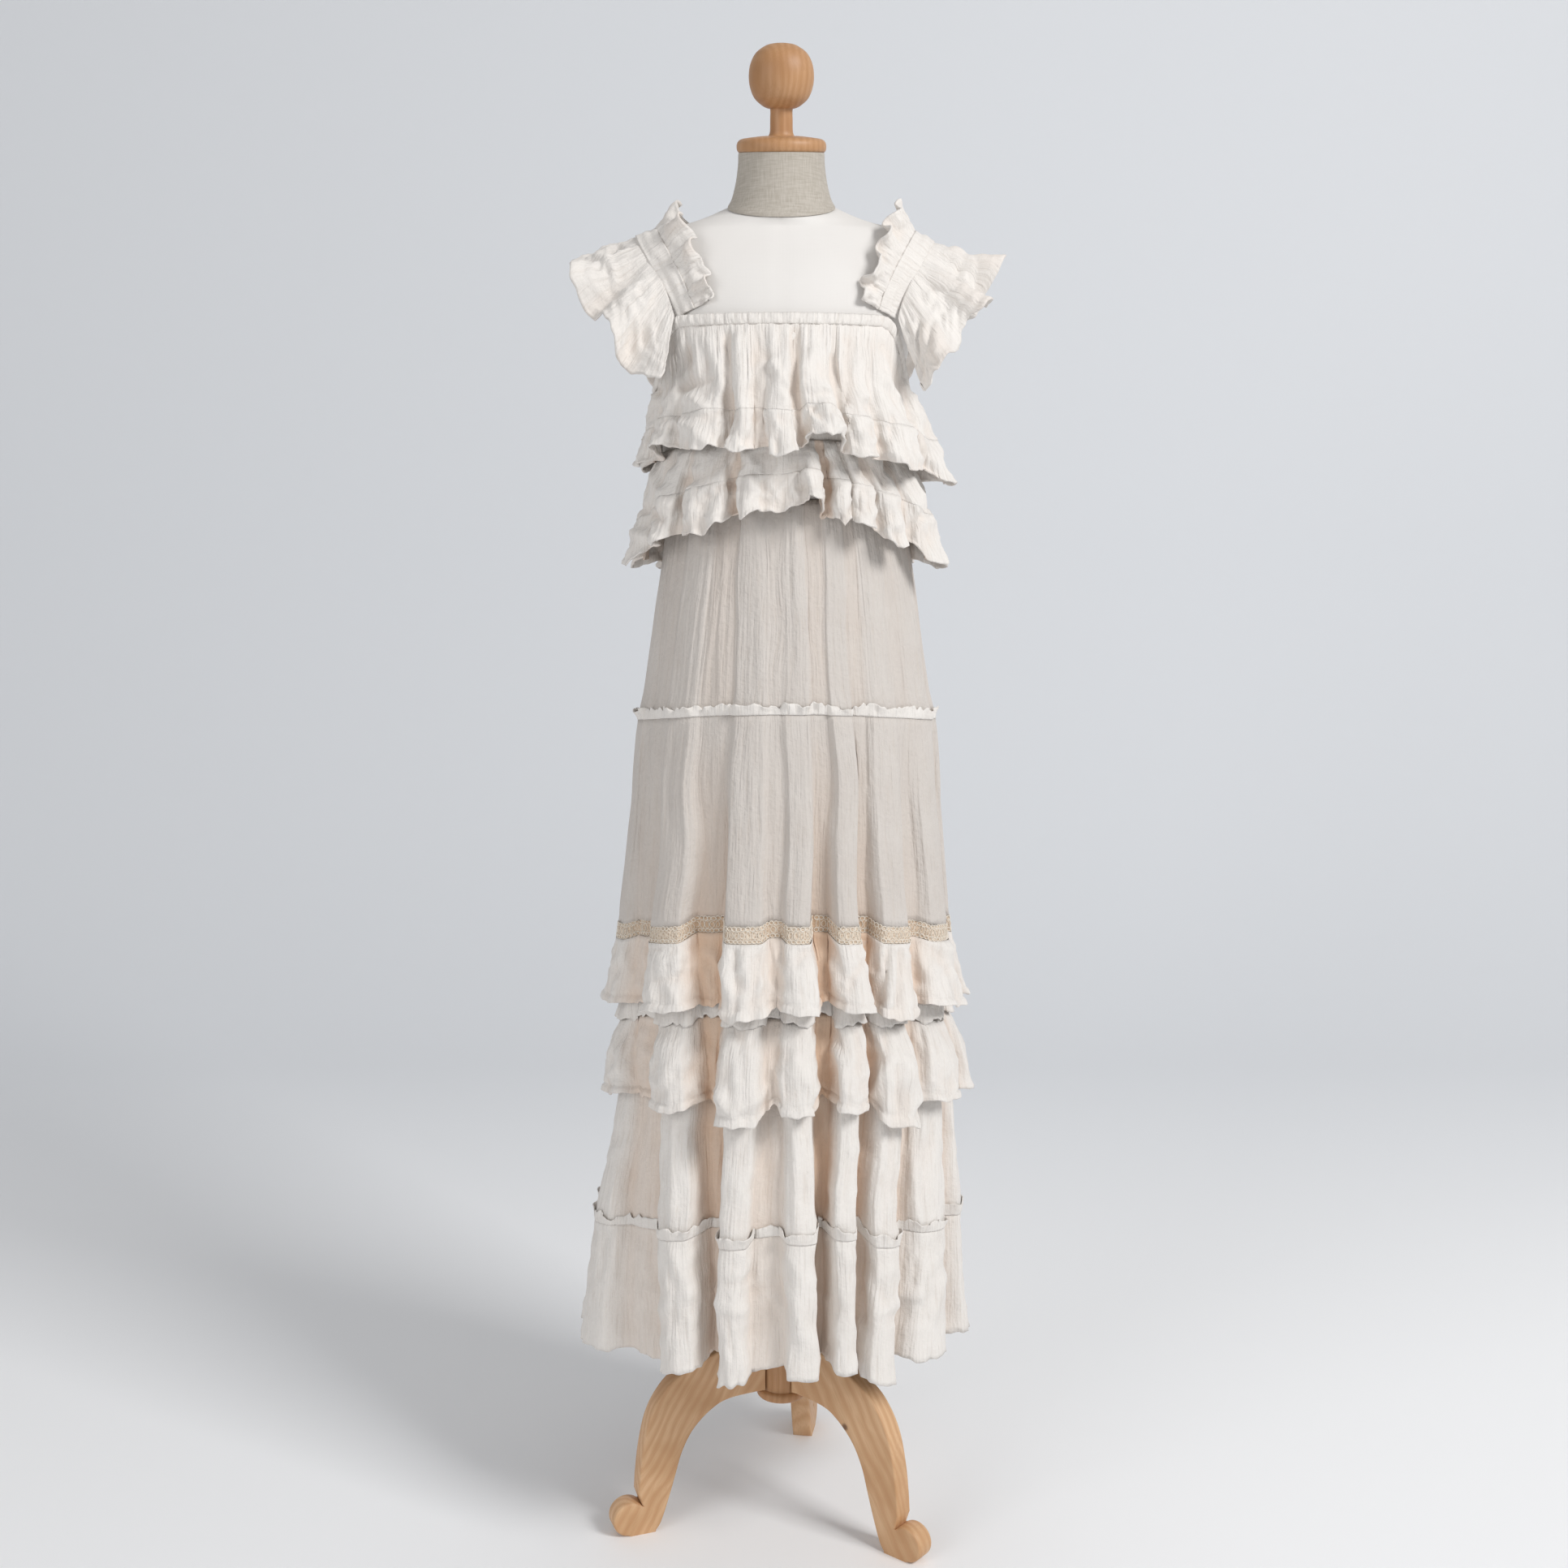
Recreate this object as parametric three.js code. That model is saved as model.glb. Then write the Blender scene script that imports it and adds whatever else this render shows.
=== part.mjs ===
// Sleeveless maxi dress of crinkled cream cotton, tiered and ruffled, on the limbless dress form
// and wooden tripod that carry it. Millimetres, +Z up, floor at Z = 0, the dress faces -Y.
import * as THREE from "three";

// Driving sizes of the cloth
const CLOTH = 1.4;
const SEAM = 0.3;
const BODICE_EASE = 4;
const LAID_ON = CLOTH + SEAM;
const WAIST_Z = 1268;
const YOKE_SEAM_Z = 1010;
const YOKE_FLAT = 14;
const YOKE_FULL_Z = 1120;
const LACE_TOP_Z = 765;
const LACE_FOOT_Z = 741;
const TIER_2_MID_Z = 890;
const RUFFLE_SEAM_Z = 646;
const TIER_3_MID_Z = 540;
const TIER_4_MID_Z = 320;
const LOWER_SEAM_Z = 392;
const HEM_Z = 240;
const NECKLINE_Z = 1474;
const UNDERARM_Z = 1398;
const CASING_DEPTH = 13;
const GATHER = 1.6;
const GATHER_FOOT = 0.2;
const FRILL_DEPTH = 10;
const FRILL_WAVE = 2.6;
const STRAP_WIDTH = 26;
const STRAP_THICK = 1.6;
const STRAP_EASE = 0.9;

// Driving sizes of the form and its stand
const NECK_LEAN = 10;
const NECK_TOP_Z = 1666;
const NECK_RADIUS = 49.5;
const NECK_DRAW = 0.05;
const POLE_RADIUS = 17;
const TORSO_FOOT_Z = 915;
const HUB_TOP_Z = 252;
const LEG_THICK = 26;
const LEG_ROUNDING = 2.5;
const TOE_RADIUS = 21.5;
const TOE_CENTRE_R = 204;
const TOE_LAST = 140;
const SOLE_R = 172;
const LEG_HEADINGS = { rear: 80.5, left: 200.5, right: 320.5 };

const FINISH = {
  cotton: { color: 0xe9e3da, roughness: 0.92, metalness: 0 },
  lace: { color: 0xd8c7b3, roughness: 0.95, metalness: 0 },
  canvas: { color: 0xf2efec, roughness: 0.85, metalness: 0 },
  linen: { color: 0xcfc9c0, roughness: 0.9, metalness: 0 },
  wood: { color: 0xcfa277, roughness: 0.55, metalness: 0 },
};

// Half extents of the padded torso, hip to neck; tilt leans the section forward
const TORSO = [
  { z: 915, side: 138, front: 92, back: 100, tilt: 0 },
  { z: 930, side: 150, front: 103, back: 112, tilt: 0 },
  { z: 990, side: 156, front: 110, back: 122, tilt: 0 },
  { z: 1080, side: 142, front: 104, back: 110, tilt: 0 },
  { z: 1175, side: 114, front: 90, back: 84, tilt: 0 },
  { z: 1270, side: 126, front: 102, back: 88, tilt: 0 },
  { z: 1345, side: 138, front: 126, back: 92, tilt: 0 },
  { z: 1420, side: 144, front: 116, back: 98, tilt: 0 },
  { z: 1480, side: 162, front: 98, back: 96, tilt: 0 },
  { z: 1525, side: 182, front: 80, back: 82, tilt: 0 },
  { z: 1552, side: 183, front: 64, back: 66, tilt: 0 },
  { z: 1568, side: 170, front: 54, back: 58, tilt: 0 },
  { z: 1578, side: 144, front: 50, back: 54, tilt: 0.05 },
  { z: 1590, side: 98, front: 50, back: 53, tilt: 0.2 },
  { z: 1604, side: 61, front: 52, back: 50, tilt: 0.36 },
];

// Half extents of the skirt from hem to waist; rise lifts the front, fold is ridge to valley
const SKIRT = [
  { z: 240, rise: 36, left: 252, right: 228, front: 209, back: 204, fold: 46 },
  { z: 320, rise: 36, left: 244, right: 224, front: 200, back: 198, fold: 42 },
  { z: 392, rise: 37, left: 233, right: 221, front: 189, back: 190, fold: 38 },
  { z: 540, rise: 34, left: 202, right: 210, front: 164, back: 173, fold: 24 },
  { z: 646, rise: 28, left: 194, right: 203, front: 152, back: 163, fold: 16 },
  { z: 741, rise: 23, left: 199, right: 208, front: 156, back: 166, fold: 25 },
  { z: 765, rise: 23, left: 197, right: 206, front: 154, back: 164, fold: 23 },
  { z: 890, rise: 20, left: 183, right: 195, front: 143, back: 155, fold: 13 },
  { z: 1010, rise: 18, left: 172, right: 186, front: 134, back: 146, fold: 6 },
  { z: 1044, rise: 16, left: 164, right: 178, front: 130, back: 141, fold: 4 },
  { z: 1131, rise: 10, left: 153, right: 166, front: 121, back: 124, fold: 3 },
  { z: 1189, rise: 6, left: 143, right: 157, front: 115, back: 106, fold: 3 },
  { z: 1268, rise: 0, left: 134, right: 143, front: 110, back: 97, fold: 2 },
];

// Skirt folds by heading in degrees, front centre at 0 and right side at 90,
// with half widths; drop lowers the ruffle hem on that ridge
const FRONT_FOLDS = [
  { lace: -80, half: 10, hem: -68, hemHalf: 11, drop: -6 },
  { lace: -43, half: 9, hem: -29, hemHalf: 6.5, drop: 4 },
  { lace: -13, half: 7.5, hem: -14.5, hemHalf: 4, drop: 16 },
  { lace: 5.7, half: 4.6, hem: 6.5, hemHalf: 5.6, drop: 4 },
  { lace: 22.7, half: 4.6, hem: 19.5, hemHalf: 4, drop: 0 },
  { lace: 40.5, half: 7, hem: 32, hemHalf: 5, drop: 14 },
  { lace: 66, half: 10.5, hem: 52, hemHalf: 9.5, drop: -4 },
];
const BACK_FOLDS = [
  { lace: 100, half: 9, hem: 88, hemHalf: 10, drop: 2 },
  { lace: 124, half: 8, hem: 116, hemHalf: 9, drop: 6 },
  { lace: 146, half: 7, hem: 140, hemHalf: 8, drop: 0 },
  { lace: 166, half: 7, hem: 163, hemHalf: 8, drop: 8 },
  { lace: 186, half: 7, hem: 187, hemHalf: 8, drop: 2 },
  { lace: 207, half: 7, hem: 210, hemHalf: 8, drop: 6 },
  { lace: 229, half: 8, hem: 234, hemHalf: 8, drop: 0 },
  { lace: 252, half: 8, hem: 257, hemHalf: 8, drop: 4 },
];

// Outward-flaring rows of the two skirt ruffles and the two bodice flounces; tip lowers the right
const RUFFLE_UPPER = [
  { z: 708, rise: 26, left: 208, right: 218, front: 169, back: 176, fold: 28, spread: 0.9, drop: 0 },
  { z: 666, rise: 29, left: 217, right: 229, front: 182, back: 186, fold: 34, spread: 1.3, drop: 0.3 },
];
const RUFFLE_LOWER = [
  { z: 604, rise: 31, left: 211, right: 223, front: 178, back: 183, fold: 31, spread: 1.2, drop: 0.2 },
  { z: 552, rise: 33, left: 216, right: 232, front: 188, back: 193, fold: 36, spread: 1.3, drop: 1 },
];
const FLOUNCE_UPPER = {
  bust: { z: 1377, rise: 33, tip: 3, left: 153, right: 163, front: 142, back: 118, fold: 3 },
  seam: { z: 1342, rise: 25, tip: 6, left: 159, right: 182, front: 150, back: 130, fold: 8 },
  hem: { z: 1304, rise: 20, tip: 9, left: 167, right: 201, front: 161, back: 142, fold: 12 },
};
const FLOUNCE_LOWER = {
  seam: { z: 1246, rise: 50, left: 172, right: 183, front: 134, back: 124, fold: 8 },
  hem: { z: 1199, rise: 54, left: 182, right: 193, front: 143, back: 136, fold: 13 },
};
const FLOUNCE_LOWER_TOP = { z: 1294, rise: 26 };

// Flounce folds by heading, with half width
const FLOUNCE_UPPER_FOLDS = {
  front: [
    { at: -77, half: 8 },
    { at: -56, half: 7 },
    { at: -35, half: 11 },
    { at: -17, half: 4.5 },
    { at: -0.5, half: 5.5 },
    { at: 13.5, half: 5.5 },
    { at: 28, half: 6.5 },
    { at: 47, half: 8.5 },
    { at: 74, half: 10 },
  ],
  back: [
    { at: 106, half: 9 },
    { at: 129, half: 9 },
    { at: 151, half: 8 },
    { at: 171, half: 7 },
    { at: 191, half: 8 },
    { at: 212, half: 8 },
    { at: 234, half: 9 },
    { at: 256, half: 8 },
  ],
};
const FLOUNCE_LOWER_FOLDS = {
  front: [
    { at: -73, half: 10 },
    { at: -51, half: 7 },
    { at: -31, half: 10 },
    { at: -12, half: 5 },
    { at: 11, half: 3.8 },
    { at: 22, half: 3 },
    { at: 31, half: 4 },
    { at: 43, half: 5.5 },
    { at: 67, half: 12 },
  ],
  back: [
    { at: 104, half: 9 },
    { at: 126, half: 9 },
    { at: 148, half: 9 },
    { at: 169, half: 8 },
    { at: 189, half: 8 },
    { at: 210, half: 9 },
    { at: 233, half: 9 },
    { at: 256, half: 9 },
  ],
};

// Way of a strap over the shoulder, front to back; swing goes from the neckline to the shoulder
const STRAP_WAY = [
  { swing: 0, y: -80, z: 1477 },
  { swing: 0.3, y: -76, z: 1508 },
  { swing: 0.62, y: -64, z: 1542 },
  { swing: 0.9, y: -36, z: 1568 },
  { swing: 1, y: 4, z: 1580 },
  { swing: 0.9, y: 42, z: 1570 },
  { swing: 0.62, y: 68, z: 1544 },
  { swing: 0.3, y: 82, z: 1510 },
  { swing: 0, y: 86, z: 1477 },
];
const STRAP_SIDES = {
  left: { sign: -1, neckline: 111, shoulder: 158 },
  right: { sign: 1, neckline: 127, shoulder: 169 },
};

// Fall of the shoulder flutters and of the upright neck ruffles along the strap
const FLUTTER = [
  { way: 0, out: 0.22, ahead: 0.42, up: -0.88, width: 88, stand: 9 },
  { way: 0.16, out: 0.58, ahead: 0.36, up: -0.73, width: 90, stand: 3 },
  { way: 0.34, out: 0.84, ahead: 0.14, up: -0.52, width: 88, stand: 0.4 },
  { way: 0.5, out: 0.93, ahead: 0, up: -0.36, width: 80, stand: 0.4 },
  { way: 0.66, out: 0.84, ahead: -0.14, up: -0.52, width: 86, stand: 0.4 },
  { way: 0.84, out: 0.58, ahead: -0.36, up: -0.73, width: 88, stand: 3 },
  { way: 1, out: 0.22, ahead: -0.42, up: -0.88, width: 84, stand: 9 },
];
const NECK_RUFFLE = [
  { way: 0, out: -0.76, ahead: 0.5, up: 0.4, width: 30, stand: 0.4 },
  { way: 0.25, out: -0.66, ahead: 0.5, up: 0.56, width: 38, stand: 0.4 },
  { way: 0.5, out: -0.6, ahead: 0, up: 0.8, width: 41, stand: 0.4 },
  { way: 0.75, out: -0.66, ahead: -0.5, up: 0.56, width: 38, stand: 0.4 },
  { way: 1, out: -0.76, ahead: -0.5, up: 0.4, width: 30, stand: 0.4 },
];
const STRAP_STEPS = 26;
const FLUTTER_WAVES = { count: 6, depth: 11, columns: 36, rows: 3 };
const NECK_RUFFLE_WAVES = { count: 8, depth: 5, columns: 32, rows: 2 };

// Profile of a tripod leg board in its own plane, hub to toe below and toe to hub above
const LEG_UNDERSIDE = [
  { r: 73, z: 158 },
  { r: 97, z: 148 },
  { r: 121, z: 126 },
  { r: 136, z: 99 },
  { r: 145, z: 70 },
  { r: 153.5, z: 42 },
  { r: 164, z: 12 },
];
const LEG_UPPERSIDE = [
  { r: 193, z: 52 },
  { r: 191.5, z: 74 },
  { r: 187, z: 110 },
  { r: 178, z: 148 },
  { r: 163, z: 176 },
  { r: 140, z: 198 },
  { r: 90, z: 222 },
];
const LEG_ROOT = { r: 26.9, low: 161, high: 240 };

const HUB_PROFILE = [
  { r: 27, z: 146.5 },
  { r: 31, z: 149.5 },
  { r: 31.8, z: 154 },
  { r: 30.5, z: 158 },
  { r: 26.5, z: 159.5 },
  { r: 26.5, z: HUB_TOP_Z },
];
const CAP_PROFILE = [
  { r: 48.5, z: 0 },
  { r: 51, z: 3 },
  { r: 51.6, z: 8 },
  { r: 50, z: 12.5 },
  { r: 45, z: 15 },
  { r: 24, z: 18 },
];
const FINIAL_PROFILE = [
  { r: 14, z: 0 },
  { r: 13, z: 6 },
  { r: 13, z: 29 },
  { r: 22, z: 33 },
  { r: 31, z: 41 },
  { r: 36, z: 53 },
  { r: 37.3, z: 66 },
  { r: 35, z: 79 },
  { r: 28.5, z: 90 },
  { r: 17, z: 97.5 },
];

const group = new THREE.Group();
group.name = "tiered_dress_on_form";

function radians(degrees) {
  return (degrees * Math.PI) / 180;
}

// One named solid with its own finish
function add(name, geometry, finish) {
  const material = new THREE.MeshStandardMaterial(finish);
  material.name = name;
  const mesh = new THREE.Mesh(geometry, material);
  mesh.name = name;
  group.add(mesh);
  return mesh;
}

// Smooth value of every column of a table at a key that lies between its rows
function between(rows, key, at) {
  let i = 0;
  while (i < rows.length - 2 && at > rows[i + 1][key]) {
    i += 1;
  }
  const a = rows[i];
  const b = rows[i + 1];
  const before = rows[Math.max(i - 1, 0)];
  const after = rows[Math.min(i + 2, rows.length - 1)];
  const span = b[key] - a[key];
  const t = Math.min(Math.max((at - a[key]) / span, 0), 1);
  const row = {};
  for (const column of Object.keys(a)) {
    const slopeA = ((b[column] - before[column]) / (b[key] - before[key])) * span;
    const slopeB = ((after[column] - a[column]) / (after[key] - a[key])) * span;
    const lift = slopeA * (t ** 3 - 2 * t ** 2 + t) + slopeB * (t ** 3 - t ** 2);
    const hold = a[column] * (2 * t ** 3 - 3 * t ** 2 + 1) + b[column] * (3 * t ** 2 - 2 * t ** 3);
    row[column] = hold + lift;
  }
  row[key] = at;
  return row;
}

function facets(points, faces) {
  const geometry = new THREE.BufferGeometry();
  const places = points.flatMap((p) => p.toArray());
  geometry.setAttribute("position", new THREE.Float32BufferAttribute(places, 3));
  geometry.setIndex(faces.flat());
  geometry.computeVertexNormals();
  return geometry;
}

// Solid skinned over closed rings that are stacked upward
function stacked(rings) {
  const count = rings[0].length;
  const points = rings.flat();
  const faces = [];
  for (let j = 0; j < rings.length - 1; j += 1) {
    for (let i = 0; i < count; i += 1) {
      const a = j * count + i;
      const b = j * count + ((i + 1) % count);
      faces.push([a, b, b + count], [a, b + count, a + count]);
    }
  }
  const ends = [
    { ring: rings[0], first: 0, turn: 1 },
    { ring: rings[rings.length - 1], first: (rings.length - 1) * count, turn: 0 },
  ];
  for (const end of ends) {
    const centre = new THREE.Vector3();
    end.ring.forEach((p) => centre.addScaledVector(p, 1 / count));
    const hub = points.length;
    points.push(centre);
    for (let i = 0; i < count; i += 1) {
      const a = end.first + i;
      const b = end.first + ((i + 1) % count);
      faces.push(end.turn ? [hub, b, a] : [hub, a, b]);
    }
  }
  return facets(points, faces);
}

// Solid turned about the upright axis
function turned(profile, sides) {
  const rings = profile.map((row) => {
    const ring = [];
    for (let i = 0; i < sides; i += 1) {
      const angle = (i / sides) * 2 * Math.PI;
      ring.push(new THREE.Vector3(row.r * Math.cos(angle), row.r * Math.sin(angle), row.z));
    }
    return ring;
  });
  return stacked(rings);
}

// Unit directions square to a grid of cloth points
function gridNormals(grid) {
  return grid.map((row, j) =>
    row.map((point, i) => {
      const along = row[Math.min(i + 1, row.length - 1)].clone().sub(row[Math.max(i - 1, 0)]);
      const upper = grid[Math.min(j + 1, grid.length - 1)][i];
      const lower = grid[Math.max(j - 1, 0)][i];
      return along.cross(upper.clone().sub(lower)).normalize();
    }),
  );
}

// Cloth wall of even thickness on both sides of a grid of points, its edges closed;
// both sides share their diagonals, so a twisted wall keeps its thickness
function wall(grid, thickness) {
  const normals = gridNormals(grid);
  const rows = grid.length;
  const columns = grid[0].length;
  const side = rows * columns;
  const offset = (by) => {
    return grid.flatMap((row, j) => row.map((p, i) => p.clone().addScaledVector(normals[j][i], by)));
  };
  const outer = offset(thickness / 2);
  const inner = offset(-thickness / 2);
  const faces = [];
  const quad = (a, b, c, d) => faces.push([a, b, c], [a, c, d]);
  for (let j = 0; j < rows - 1; j += 1) {
    for (let i = 0; i < columns - 1; i += 1) {
      const a = j * columns + i;
      quad(a, a + 1, a + columns + 1, a + columns);
      quad(side + a, side + a + columns, side + a + columns + 1, side + a + 1);
    }
  }
  for (let i = 0; i < columns - 1; i += 1) {
    const top = (rows - 1) * columns + i;
    quad(side + i, side + i + 1, i + 1, i);
    quad(top, top + 1, side + top + 1, side + top);
  }
  for (let j = 0; j < rows - 1; j += 1) {
    const a = j * columns;
    const b = a + columns - 1;
    quad(side + a, a, a + columns, side + a + columns);
    quad(b, side + b, side + b + columns, b + columns);
  }
  return facets(outer.concat(inner), faces);
}

// Point on the padded torso at a heading and height, moved out by some ease
function torsoPoint(heading, z, ease) {
  const row = between(TORSO, "z", z);
  const angle = radians(heading);
  const depth = (Math.cos(angle) > 0 ? row.front : row.back) + ease;
  const x = (row.side + ease) * Math.sin(angle);
  const y = -depth * Math.cos(angle);
  return new THREE.Vector3(x, y, z + y * row.tilt);
}

// Signed distance, near the surface, from a point to the padded torso
function torsoDistance(point) {
  const level = (z) => {
    const row = between(TORSO, "z", z);
    const depth = point.y < 0 ? row.front : row.back;
    return (point.x / row.side) ** 2 + (point.y / depth) ** 2;
  };
  const row = between(TORSO, "z", point.z);
  const depth = point.y < 0 ? row.front : row.back;
  const slope = level(point.z + 0.5) - level(point.z - 0.5);
  const steep = new THREE.Vector3((2 * point.x) / row.side ** 2, (2 * point.y) / depth ** 2, slope);
  const distance = (level(point.z) - 1) / steep.length();
  return { distance, away: steep.normalize() };
}

// Nearest place above the torso at a given clearance
function restedOn(point, clearance) {
  const place = point.clone();
  for (let step = 0; step < 12; step += 1) {
    const { distance, away } = torsoDistance(place);
    place.addScaledVector(away, Math.min(Math.max(clearance - distance, -6), 6) * 0.7);
  }
  return place;
}

// Padded torso in canvas, with its neck in linen above the tilted neck seam
const torsoRings = [];
for (let j = 0; j < TORSO.length - 1; j += 1) {
  for (const share of j > 1 ? [0, 0.5] : [0]) {
    const z = TORSO[j].z + share * (TORSO[j + 1].z - TORSO[j].z);
    torsoRings.push(z);
  }
}
torsoRings.push(TORSO[TORSO.length - 1].z);
const TORSO_SIDES = 22;
const ringAround = (z) => {
  const ring = [];
  for (let i = 0; i < TORSO_SIDES; i += 1) {
    ring.push(torsoPoint((i / TORSO_SIDES) * 360, z, 0));
  }
  return ring;
};
add("form_torso", stacked(torsoRings.map(ringAround)), FINISH.canvas);

const neckSeam = ringAround(TORSO[TORSO.length - 1].z);
const lean = new THREE.Matrix4().makeRotationX(radians(NECK_LEAN));
const neckTop = [];
for (let i = 0; i < TORSO_SIDES; i += 1) {
  const angle = radians((i / TORSO_SIDES) * 360);
  const rim = new THREE.Vector3(NECK_RADIUS * Math.sin(angle), -NECK_RADIUS * Math.cos(angle), 0);
  neckTop.push(rim.applyMatrix4(lean).add(new THREE.Vector3(0, 0, NECK_TOP_Z)));
}
const neckRings = [0, 0.3, 0.65, 1].map((share) =>
  neckSeam.map((low, i) => {
    const point = low.clone().lerp(neckTop[i], share);
    const draw = 1 - NECK_DRAW * Math.sin(share * Math.PI);
    return new THREE.Vector3(point.x * draw, point.y * draw, point.z + SEAM * (1 - share));
  }),
);
add("form_neck", stacked(neckRings), FINISH.linen);

// Turned neck cap and finial, leaning with the neck
const capLift = SEAM;
const capBase = new THREE.Matrix4().makeTranslation(0, 0, NECK_TOP_Z).multiply(lean);
const capGeometry = turned(CAP_PROFILE, 22);
capGeometry.applyMatrix4(new THREE.Matrix4().makeTranslation(0, 0, capLift));
capGeometry.applyMatrix4(capBase);
add("neck_cap", capGeometry, FINISH.wood);
const finialGeometry = turned(FINIAL_PROFILE, 18);
const finialLift = capLift + CAP_PROFILE[CAP_PROFILE.length - 1].z + SEAM;
finialGeometry.applyMatrix4(new THREE.Matrix4().makeTranslation(0, 0, finialLift));
finialGeometry.applyMatrix4(capBase);
add("finial", finialGeometry, FINISH.wood);

// Pole, turned hub and three sawn cabriole legs of the stand
const polePoints = [
  { r: POLE_RADIUS, z: HUB_TOP_Z + SEAM },
  { r: POLE_RADIUS, z: TORSO_FOOT_Z - SEAM },
];
add("pole", turned(polePoints, 18), FINISH.wood);
add("hub", turned(HUB_PROFILE, 22), FINISH.wood);

function legBoard() {
  const shape = new THREE.Shape();
  const flat = (row) => new THREE.Vector2(row.r, row.z);
  shape.moveTo(LEG_ROOT.r, LEG_ROOT.low);
  shape.splineThru(LEG_UNDERSIDE.map(flat));
  shape.lineTo(SOLE_R, 0);
  shape.lineTo(TOE_CENTRE_R, 0);
  shape.absarc(TOE_CENTRE_R, TOE_RADIUS, TOE_RADIUS, -Math.PI / 2, radians(TOE_LAST), false);
  shape.splineThru(LEG_UPPERSIDE.map(flat));
  shape.lineTo(LEG_ROOT.r, LEG_ROOT.high);
  shape.closePath();
  const outline = shape.getPoints(3);
  const ends = [
    { inset: LEG_ROUNDING, y: -LEG_THICK / 2 },
    { inset: 0, y: -LEG_THICK / 2 + LEG_ROUNDING },
    { inset: 0, y: LEG_THICK / 2 - LEG_ROUNDING },
    { inset: LEG_ROUNDING, y: LEG_THICK / 2 },
  ];
  const apart = outline.filter((p, i) => p.distanceTo(outline[(i + 1) % outline.length]) > 0.5);
  return { outline: apart, ends };
}

// Board sawn to an outline, its long edges eased; the foot and the root stay square
function sawn(outline, ends) {
  const count = outline.length;
  const inward = outline.map((p, i) => {
    const next = outline[(i + 1) % count];
    const last = outline[(i + count - 1) % count];
    const along = next.clone().sub(last).normalize();
    return new THREE.Vector2(-along.y, along.x);
  });
  const points = [];
  for (const end of ends) {
    outline.forEach((p, i) => {
      const square = p.y < 0.01 || p.x < LEG_ROOT.r + 0.01;
      const inset = square ? 0 : end.inset;
      points.push(new THREE.Vector3(p.x + inward[i].x * inset, end.y, p.y + inward[i].y * inset));
    });
  }
  const faces = [];
  for (let j = 0; j < ends.length - 1; j += 1) {
    for (let i = 0; i < count; i += 1) {
      const a = j * count + i;
      const b = j * count + ((i + 1) % count);
      faces.push([a, b + count, b], [a, a + count, b + count]);
    }
  }
  const flats = [points.slice(0, count), points.slice(-count)];
  flats.forEach((flat, end) => {
    const first = end * (ends.length - 1) * count;
    const cut = THREE.ShapeUtils.triangulateShape(flat.map((p) => new THREE.Vector2(p.x, p.z)), []);
    for (const [a, b, c] of cut) {
      faces.push(end ? [first + c, first + b, first + a] : [first + a, first + b, first + c]);
    }
  });
  return facets(points, faces);
}

for (const [name, heading] of Object.entries(LEG_HEADINGS)) {
  const { outline, ends } = legBoard();
  const geometry = sawn(outline, ends);
  geometry.applyMatrix4(new THREE.Matrix4().makeRotationZ(radians(heading)));
  add(`leg_${name}`, geometry, FINISH.wood);
}

// Height of the neckline and armhole edge round the bodice
function topEdge(heading) {
  const turn = Math.abs(((((heading + 180) % 360) + 360) % 360) - 180);
  const toSide = Math.abs(turn - 90);
  const share = Math.min(Math.max((toSide - 4) / 44, 0), 1);
  return UNDERARM_Z + (NECKLINE_Z - UNDERARM_Z) * share * share * (3 - 2 * share);
}

// Front and back of a round of cloth, parted at the side seams
const HALVES = {
  front: { from: -90, to: 90 },
  back: { from: 90, to: 270 },
};
const PARTING = 0.12;

function evenHeadings(half, steps) {
  const headings = [];
  for (let i = 0; i <= steps; i += 1) {
    const span = half.to - half.from - 2 * PARTING;
    headings.push(half.from + PARTING + (span * i) / steps);
  }
  return headings;
}

// Plain inner bodice from the waist to the neckline
for (const [name, half] of Object.entries(HALVES)) {
  const headings = evenHeadings(half, 16);
  const bodice = [0, 0.22, 0.44, 0.7, 1].map((share) =>
    headings.map((heading) => {
      const foot = WAIST_Z + SEAM;
      const z = foot + (topEdge(heading) - foot) * share;
      return torsoPoint(heading, z, BODICE_EASE);
    }),
  );
  add(`bodice_${name}`, wall(bodice, CLOTH), FINISH.cotton);
}

// Columns across a row of folds: foot, shoulder, shoulder, foot of each, and wide valleys between
const FOOT = 1.18;
const SHOULDER = 0.82;
const WIDE_VALLEY = 7;

function foldColumns(folds, end) {
  const columns = [];
  folds.forEach((fold, k) => {
    const next = folds[k + 1];
    columns.push({ side: -FOOT, lift: 0, fold });
    columns.push({ side: -SHOULDER, lift: 1, fold });
    columns.push({ side: SHOULDER, lift: 1, fold });
    columns.push({ side: FOOT, lift: 0, fold });
    if (next && edge(next, -FOOT).lace - edge(fold, FOOT).lace > WIDE_VALLEY) {
      columns.push(plainColumn(middle(edge(fold, FOOT), edge(next, -FOOT)), 0.06));
    }
  });
  return [plainColumn(end.from, 0.04), ...columns, plainColumn(end.to, 0.04)];
}

function plainColumn(place, lift) {
  return { side: 0, lift, fold: { ...place, half: 0, hemHalf: 0, drop: 0 } };
}

function edge(fold, side) {
  return { lace: fold.lace + side * fold.half, hem: fold.hem + side * fold.hemHalf };
}

function middle(a, b) {
  return { lace: (a.lace + b.lace) / 2, hem: (a.hem + b.hem) / 2 };
}

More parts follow.
